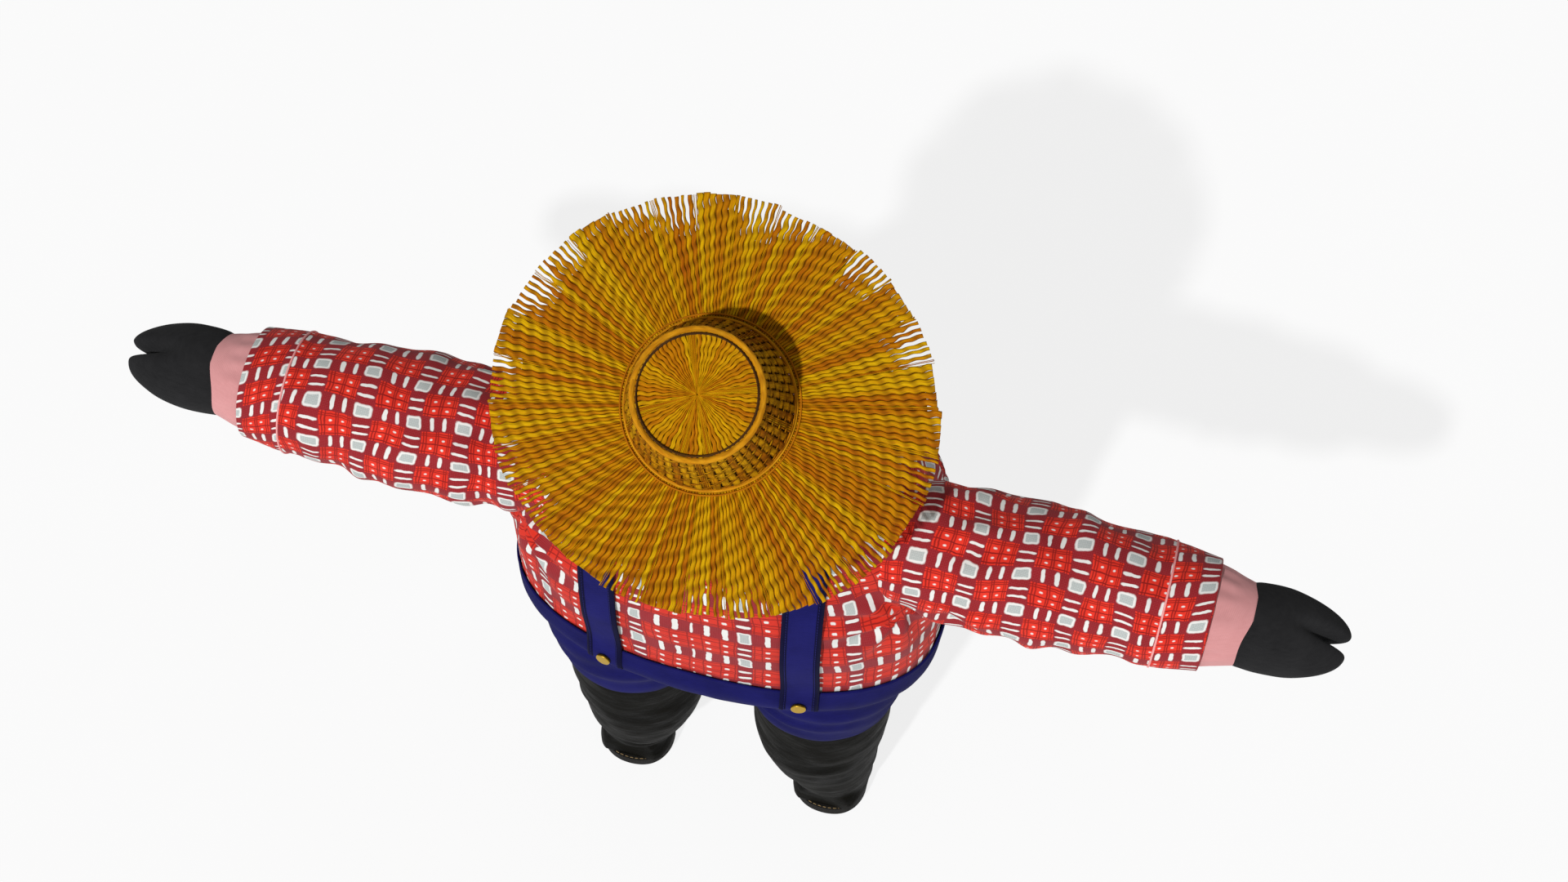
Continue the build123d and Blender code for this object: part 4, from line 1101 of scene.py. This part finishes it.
for name, side in SIDES:
    boot = blob(
        f"boot_leather_{name}", (f"boot_{name}", f"leg_stuffing_{name}", f"foot_block_{name}"),
        0.004, 8, boot_leather,
    )

    def boot_folds(points, normals):
        """Creases round the ankle, a slump at mid height, and soft dents."""
        x, y, z = points.T
        turn = np.arctan2(y - 0.028, side * (x - side * 0.14))
        wander = bumps(points, 9.0, side * 3.0)
        broken = ramp(0.5 + 1.2 * bumps(points, 13.0, 21.0))
        folds = 0.0032 * np.sin(z * 95 + turn * 1.5 + wander * 4) * hump(z, 0.135, 0.045)
        folds += 0.0020 * np.sin(z * 62 - turn * 2 + wander * 4) * hump(z, 0.29, 0.07)
        folds *= broken
        folds += 0.0030 * wander + 0.0011 * bumps(points, 30.0, 6.0)
        folds *= ramp((z - 0.022) / 0.03)
        toe = ramp((-y - 0.02) / 0.05) * ramp((0.09 - z) / 0.03)
        folds += 0.0016 * np.sin(y * 190 + wander * 2) * toe * ramp((y + 0.12) / 0.03)
        return points + normals * folds[:, None]

    moved(boot, boot_folds)
    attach(boot, "figure")
    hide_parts(f"boot_{name}", f"leg_stuffing_{name}")

    # A row of welt stitches on the sole's edge.
    low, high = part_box(f"sole_{name}")
    tree = surface_of(f"sole_{name}")
    mid = (low + high) / 2
    line = []
    for angle in around(240):
        way = Vector((cos(angle), sin(angle), 0))
        hit = tree.ray_cast(Vector((mid.x, mid.y, high.z - 0.003)) + way * 0.3, -way)[0]
        line.append(tuple(hit + Vector((0, 0, 0.0030)) - way * 0.0022))
    line = np.array(line + line[:1])
    steps = lengths_along(line)
    sewing = Pile()
    for start in np.arange(0, steps[-1] - 0.007, WELT_PACE):
        path = points_at(line, steps, start + np.linspace(0, WELT_LONG, 4))
        path[:, 2] += np.array((-0.0004, 0.0004, 0.0004, -0.0004))
        sewing.grid(tube(path, 0.0007, 5), caps=True)
    welt = sewing.build(f"welt_{name}", welt_thread, "boot_sole")
    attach(welt, "figure")

# ---- Head -----------------------------------------------------------------------------------

head_tree = surface_of("head")
core = middle("head") + Vector((0, 0.004, -0.005))


def on_head(way, inside):
    """The point of the CAD head in this direction from its core."""
    hit = head_tree.ray_cast(core + way * 0.4, -way)[0]
    return tuple(core + way * inside) if hit is None else tuple(hit)


points = np.array([[
    on_head(Vector((cos(tilt) * cos(turn), cos(tilt) * sin(turn), sin(tilt))), 0.09)
    for turn in around(140)
] for tilt in np.linspace(-pi / 2 + 0.02, pi / 2 - 0.02, 90)])
far = np.linalg.norm(points - np.array(core), axis=-1)
# The neck's socket is closed over, and the CAD's edges are smoothed away.
far[:6] = np.minimum(far[:6], np.median(far[6]))
for _ in range(10):
    beside = (np.roll(far, 1, 1) + np.roll(far, -1, 1)) / 2
    along = far.copy()
    along[1:-1] = (far[:-2] + far[2:]) / 2
    far = 0.4 * far + 0.3 * beside + 0.3 * along
way = points - np.array(core)
way /= np.linalg.norm(way, axis=-1, keepdims=True)
seam = hump(way[..., 0], 0, 0.022) * (way[..., 1] > -0.6)
far = far + 0.0016 * bumps(way, 4.0) - 0.0022 * seam
points = np.array(core) + way * far[..., None]
head = Pile().grid(points, caps=True).build("head_cloth", pink_cloth, "pink_cloth")
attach(head, "head")
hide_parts("head")

NOSTRILS = (("nostril_right", -0.014), ("nostril_left", 0.014))
centre = middle("snout")
tip, root = (c.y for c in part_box("snout"))
# The snout's outline: place along Y and radius.
profile = np.array((
    (root, 0.0365), (root - 0.020, 0.0352), (root - 0.038, 0.0350), (tip + 0.014, 0.0372),
    (tip + 0.005, 0.0402), (tip + 0.0012, 0.0395), (tip + 0.0004, 0.0365), (tip + 0.0016, 0.0320),
    (tip + 0.0020, 0.0200), (tip + 0.0014, 0.0090), (tip + 0.0012, 0.0010),
))
rings = evenly(profile, 90)
turn = around(96)
x = rings[:, 1, None] * np.cos(turn)
z = rings[:, 1, None] * np.sin(turn) * 0.94
y = rings[:, 0, None] + 0 * x
flat = ramp((tip + 0.010 - y) / 0.006)
for _, across in NOSTRILS:
    y += 0.0095 * flat * hump(x, across, 0.0052) * hump(z, 0.003, 0.0085)
points = stacked(centre.x + x, y, centre.z + z)
snout = Pile().grid(points, caps=True).build("snout_cloth", pink_cloth, "pink_cloth")
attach(snout, "head")
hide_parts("snout")
for name, across in NOSTRILS:
    pocket = Pile()
    size = np.linspace(1, 0.05, 8)[:, None]
    pocket.grid(stacked(
        centre.x + across + 0.0048 * size * np.cos(turn), tip + 0.0098 - 0.0022 * size,
        centre.z + 0.003 + 0.0078 * size * np.sin(turn),
    ), flip=True)
    hole = pocket.build(name, mouth_thread, "pink_cloth")
    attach(hole, "head")

# A calm sewn mouth below the snout.
path = []
for share in np.linspace(-1, 1, 41):
    way = Vector((share * 0.50, -1, -0.47 + 0.10 * share * share)).normalized()
    path.append(np.array(on_head(way, 0.09)) + np.array(way) * 0.0006)
mouth = Pile()
for start in range(0, len(path) - 1, 2):
    mouth.grid(tube(np.array(path[start:start + 3]), (0.0008, 0.0014, 0.0008), 6), caps=True)
stitch = mouth.build("mouth_stitches", mouth_thread, "pink_cloth")
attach(stitch, "head")

for name, side in SIDES:
    ear = blob(f"ear_cloth_{name}", (f"ear_{name}",), 0.0026, 10, pink_cloth)
    low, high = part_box(f"ear_{name}")
    root = Vector((side * 0.076, (low.y + high.y) / 2, high.z))

    def curl(points, normals):
        """The ear is fuller along its rim and cups a little."""
        away = points[:, 1] - root.y
        cup = -0.20 * away ** 2 / 0.03
        points = points.copy()
        points[:, 0] += side * cup
        return points + normals * (0.0012 + 0.0009 * bumps(points, 40.0))[:, None]

    moved(ear, curl)
    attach(ear, "head")
    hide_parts(f"ear_{name}")

# ---- Hat ------------------------------------------------------------------------------------


def hat_points(x, y, z):
    """Places over the brim's underside, across and along the hat's own axes."""
    return (
        np.array(HAT) + np.asarray(x)[..., None] * np.array(HAT_X)
        + np.asarray(y)[..., None] * np.array(HAT_Y) + np.asarray(z)[..., None] * np.array(LIFT)
    )


def brim_edge(angle):
    """How far the brim's oval reaches from the crown's middle in this direction."""
    way = np.array((cos(angle - BRIM_TURN) / BRIM_LONG, sin(angle - BRIM_TURN) / BRIM_SHORT))
    shift = BRIM_SHIFT * np.array((cos(BRIM_TURN) / BRIM_LONG, -sin(BRIM_TURN) / BRIM_SHORT))
    a, b, c = way @ way, way @ shift, shift @ shift - 1
    return (b + (b * b - a * c) ** 0.5) / a


def strand(pile, angles, reaches, heights, half_widths, out, up, along):
    """Adds a flattened straw that follows polar places on the hat.

    out and up are its half thickness away from the crown's middle and along the hat's height.
    The shading's first way is the straw's own number and the place across it, its second along.
    """
    global straws
    turn = around(8) + pi / 8
    angles = np.broadcast_to(angles, reaches.shape)[:, None]
    across = half_widths[:, None] * np.cos(turn)[None]
    reach = reaches[:, None] + out * np.sin(turn)[None]
    points = hat_points(
        reach * np.cos(angles) - np.sin(angles) * across,
        reach * np.sin(angles) + np.cos(angles) * across,
        heights[:, None] + up * np.sin(turn)[None],
    )
    cross = 0.5 + 0.485 * np.cos(np.append(turn, turn[0]))
    pile.grid(points, uv=stacked(straws + cross, along[:, None]), caps=True)
    straws += 1


def hoop(pile, theta, sides, radius, out, height, up, pace):
    """Adds a level ring of straw round the crown. pace is the shading's run for one radian."""
    global straws
    turn = around(sides)
    reach = radius + out * np.cos(turn)[None] + 0 * theta[:, None]
    points = hat_points(
        reach * np.cos(theta)[:, None], reach * np.sin(theta)[:, None],
        height + up * np.sin(turn)[None] + 0 * theta[:, None],
    )
    points[-1] = points[0]
    cross = np.linspace(0.02, 0.98, sides + 1)
    pile.grid(points, uv=stacked(straws + cross, theta[:, None] * pace))
    straws += 1


rng = random.Random(7)
SECTORS = 30
STEP = 2 * pi / SECTORS
SPLIT_SECTORS = {0, 2, 3, 6, 8, 9, 11, 12, 14, 17, 19, 21, 22, 24, 25, 27, 28}
# Each sector has three fine straws, and coarse ones over the rest of it: start, width, coarse.
FINE, COARSE, FINE_WIDTH = 3, 6, 0.026
COARSE_WIDTH = 1 - FINE * FINE_WIDTH
SECTOR_PARTS = [(i * FINE_WIDTH, FINE_WIDTH, False) for i in range(FINE)] + [
    (FINE * FINE_WIDTH + i * COARSE_WIDTH / COARSE, COARSE_WIDTH / COARSE, True)
    for i in range(COARSE)
]
brim = Pile()
straws = 0
web_edges = []
for sector in range(SECTORS):
    first, last = sector * STEP, (sector + 1) * STEP
    grow = 1 + rng.uniform(-0.012, 0.012)
    a = np.array((cos(first), sin(first))) * brim_edge(first) * grow
    b = np.array((cos(last), sin(last))) * brim_edge(last) * grow
    split = sector in SPLIT_SECTORS
    depth = rng.uniform(0.020, 0.042) if split else 0.0
    web_edges.append((depth + 0.008) if split else 0.012)
    phase = rng.uniform(-0.8, 0.8)
    for start, width, wide in SECTOR_PARTS:
        angle = first + (start + width / 2) * STEP
        side_x, side_y = b - a
        edge = (a[0] * side_y - a[1] * side_x) / (cos(angle) * side_y - sin(angle) * side_x)
        edge += rng.uniform(-0.0008, 0.0008)
        reaches = np.linspace(CROWN_LOW + 0.0025, edge, 84)
        half = reaches * width * STEP / 2
        beat = 2 * pi * reaches / STRAW_BEAT + STRAW_SHIFT * straws + phase
        sway = half * 0.20 * np.sin(beat)
        if wide:
            half = half * (1.05 + 0.08 * np.cos(beat + 0.6))
            thick, lift = 0.0016, 0.0004 * np.sin(beat)
        else:
            half = half * 1.10
            thick, lift = 0.0009, 0.0004 + 0 * half
        if split:
            end = ramp((reaches - (edge - depth * rng.uniform(0.55, 1.15))) / 0.007)
            half = half * (1 - rng.uniform(0.30, 0.58) * end)
            sway = sway * (1 - 0.5 * end) + rng.uniform(-0.0009, 0.0009) * end
        droop = -0.0016 * ((reaches - 0.09) / 0.16) ** 2
        droop += 0.0010 * sin(sector * 1.7) * (reaches / 0.25) ** 3
        height = 0.0030 + lift + droop
        strand(brim, angle + sway / reaches, reaches, height, half, 0, thick, reaches)
brim_straw = brim.build("brim_straw", straw, "straw")
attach(brim_straw, "hat")
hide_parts("hat_brim")

web = Pile()
angles = around(360)
edge = np.array([
    brim_edge(t) * 0.985 - web_edges[int(t / STEP) % SECTORS] for t in angles
])
start = CROWN_LOW - 0.0005
r = start + (edge - start) * np.linspace(0, 1, 12)[:, None]
web.grid(hat_points(
    r * np.cos(angles), r * np.sin(angles), 0.0024 - 0.0016 * ((r - 0.09) / 0.16) ** 2,
))
backing = web.build("brim_backing", lining, "hat_lining")
modified(backing, "SOLIDIFY", thickness=0.0010, offset=0.0)
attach(backing, "hat")


def crown_r(z):
    return np.interp(z, (BRIM_THICK, CROWN_HEIGHT), (CROWN_LOW, CROWN_TOP))


# The crown's wall: upright straws woven round level ones, over a dark lining.
wall = Pile()
UPRIGHTS, LEVELS = 54, 9
FIRST_LEVEL = 0.008
heights = np.linspace(0.006, CROWN_HEIGHT - 0.001, 60)
level_pitch = (CROWN_HEIGHT - 0.010) / LEVELS
for i in range(UPRIGHTS):
    fine = i % 11 == 4
    beat = pi * (heights - FIRST_LEVEL) / level_pitch + (pi if i % 2 else 0)
    r = crown_r(heights) + 0.0004 + 0.0011 * np.sin(beat)
    half = r * pi / UPRIGHTS * (0.22 if fine else 0.96 + 0.08 * np.sin(2 * beat))
    lean = (0 if fine else 0.10) * np.sin(beat / 2 + i) * pi / UPRIGHTS
    for offset in (-0.33, -0.11, 0.11, 0.33) if fine else (0,):
        angle = 2 * pi * (i + 0.5 + offset) / UPRIGHTS + lean
        strand(wall, angle, r, heights, half, 0.0012, 0, heights)
theta = np.linspace(0, 2 * pi, UPRIGHTS * 8 + 1)
for row in range(LEVELS):
    z = FIRST_LEVEL + (row + 0.5) * level_pitch
    swing = np.cos(theta * UPRIGHTS / 2) * (1 if row % 2 else -1)
    r = crown_r(z) + 0.0002 + 0.0010 * swing[:, None]
    hoop(wall, theta, 8, r, 0.0009, z, 0.0026, 0.08)
crown_wall = wall.build("crown_wall", straw_wall_shaded, "straw")
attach(crown_wall, "hat")
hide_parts("hat_crown")

shell = Pile()
angles = around(120)
# The lining's outline: distance from the crown's middle and height.
inner = np.array((
    (CROWN_LOW - 0.0022, 0.003), (CROWN_TOP - 0.0022, CROWN_HEIGHT - 0.003),
    (CROWN_TOP - 0.008, CROWN_HEIGHT - 0.0006), (0.030, CROWN_HEIGHT), (0.0005, CROWN_HEIGHT),
))
profile = evenly(inner, 30)
shell.grid(hat_points(
    profile[:, 0, None] * np.cos(angles), profile[:, 0, None] * np.sin(angles),
    profile[:, 1, None] + 0 * angles,
))
crown_lining = shell.build("crown_lining", lining, "hat_lining")
modified(crown_lining, "SOLIDIFY", thickness=0.0008, offset=0.0)
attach(crown_lining, "hat")

# The crown's top: straws from the middle to the rim, with bundles of fine ones between.
top = Pile()
FINE_AT = [radians(a) for a in (30, 90, 115, 200, 290)]
WEDGE = radians(5.0)
angle, stops = 0.0, []
while angle < 2 * pi - 1e-6:
    fine = any(abs(angle + WEDGE / 2 - f) < WEDGE * 0.7 for f in FINE_AT)
    stops += (
        [(angle + WEDGE * i / 4, WEDGE / 4, False) for i in range(4)]
        if fine else [(angle, WEDGE, True)]
    )
    angle += WEDGE
for start, width, wide in stops:
    mid = start + width / 2
    reaches = np.linspace(0.0008, CROWN_TOP + 0.0002, 40)
    beat = 2 * pi * reaches / STRAW_BEAT + mid * 3
    half = np.maximum(reaches * width / 2 * 1.04, 0.0004)
    if wide:
        sway = half * 0.30 * np.sin(beat)
        half = half * (1 + 0.10 * np.sin(2 * beat))
        lift = 0.0005 * np.cos(beat)
    else:
        sway, lift = 0 * half, 0.0003 + 0 * half
    dome = 0.0020 * (1 - (reaches / CROWN_TOP) ** 2)
    strand(
        top, mid + sway / np.maximum(reaches, 0.01), reaches, CROWN_HEIGHT + dome + lift, half,
        0, 0.0014 if wide else 0.0008, reaches,
    )
crown_top = top.build("crown_top", straw_top, "straw")
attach(crown_top, "hat")

# Twisted straw rings round the crown's foot and its rim, and thin cords beside the lower one.
rings = Pile()
theta = np.linspace(0, 2 * pi, 361)
for radius, z, thick, twists in (
    (CROWN_LOW + 0.0012, 0.0062, 0.0020, 40), (CROWN_TOP + 0.0006, CROWN_HEIGHT + 0.0002, 0.0034, 30),
    (CROWN_LOW + 0.0062, 0.0058, 0.0010, 0), (CROWN_LOW + 0.0004, 0.0116, 0.0010, 0),
):
    ridge = 1 + (0.06 * np.sin(4 * around(16)[None] + twists * theta[:, None]) if twists else 0)
    hoop(rings, theta, 16, radius, thick * ridge, z, thick * ridge, 0.09)
hat_rings = rings.build("hat_ring_straw", straw_ring, "straw_edge")
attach(hat_rings, "hat")
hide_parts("hat_rings")

# ---- Floor, light and camera ------------------------------------------------------------------

FLOOR_HALF = 30.0
WHITE = (1.0, 1.0, 1.0, 1.0)
f = Finish("studio_floor", 0.95, Emission_Color=WHITE, Emission_Strength=0.82)
grain = f.noise(f.place(), 3.0, 2.0)
mesh = bpy.data.meshes.new("floor")
mesh.from_pydata([
    (x * FLOOR_HALF, y * FLOOR_HALF, 0) for x, y in ((-1, -1), (1, -1), (1, 1), (-1, 1))
], [], [(0, 1, 2, 3)])
mesh.materials.append(f.done(f.mix(grain, (0.14, 0.14, 0.14, 1), (0.15, 0.15, 0.15, 1))))
floor = shown("floor", mesh)

world = bpy.data.worlds.new("studio")
bpy.context.scene.world = world
world.use_nodes = True
background = world.node_tree.nodes["Background"]
background.inputs["Color"].default_value = WHITE
background.inputs["Strength"].default_value = 0.24


def lamp(name, spot, target, power, size, kind="AREA"):
    light = bpy.data.lights.new(name, kind)
    light.energy = power
    if kind == "AREA":
        light.shape = "DISK"
        light.size = size
    else:
        light.angle = size
    made = shown(name, light)
    made.location = spot
    made.rotation_mode = "QUATERNION"
    made.rotation_quaternion = (Vector(target) - Vector(spot)).to_track_quat("-Z", "Y")


# The key light stands behind the figure, so the crown's shadow falls on the front of the brim.
lamp("key", (0.64, 2.64, 3.76), (0, 0, 0.8), 2.7, radians(2.0), "SUN")
lamp("fill", (-2.0, 2.4, 2.2), (0, 0, 0.7), 5.0, 2.4)

TURN, TILT = radians(15.06), radians(64.0)       # round from behind, and down
LENS, SENSOR = 61.9, 36.0
AWAY, RIGHT_OF, ABOVE = 3.168, 0.0672, 0.0523    # the camera's place from the middle of the arms
right = Vector((-cos(TURN), -sin(TURN), 0))
up = Vector((sin(TURN) * sin(TILT), -cos(TURN) * sin(TILT), cos(TILT)))
forward = Vector((sin(TURN) * cos(TILT), -cos(TURN) * cos(TILT), -sin(TILT)))
camera_data = bpy.data.cameras.new("camera")
camera_data.lens, camera_data.sensor_width = LENS, SENSOR
camera = shown("camera", camera_data)
spot = Vector((0, BODY_Y, ARM["left"]["z"])) + right * RIGHT_OF + up * ABOVE - forward * AWAY
camera.matrix_world = Matrix.Translation(spot) @ Matrix((right, up, -forward)).transposed().to_4x4()
bpy.context.scene.camera = camera
bpy.context.scene.view_settings.view_transform = "Standard"
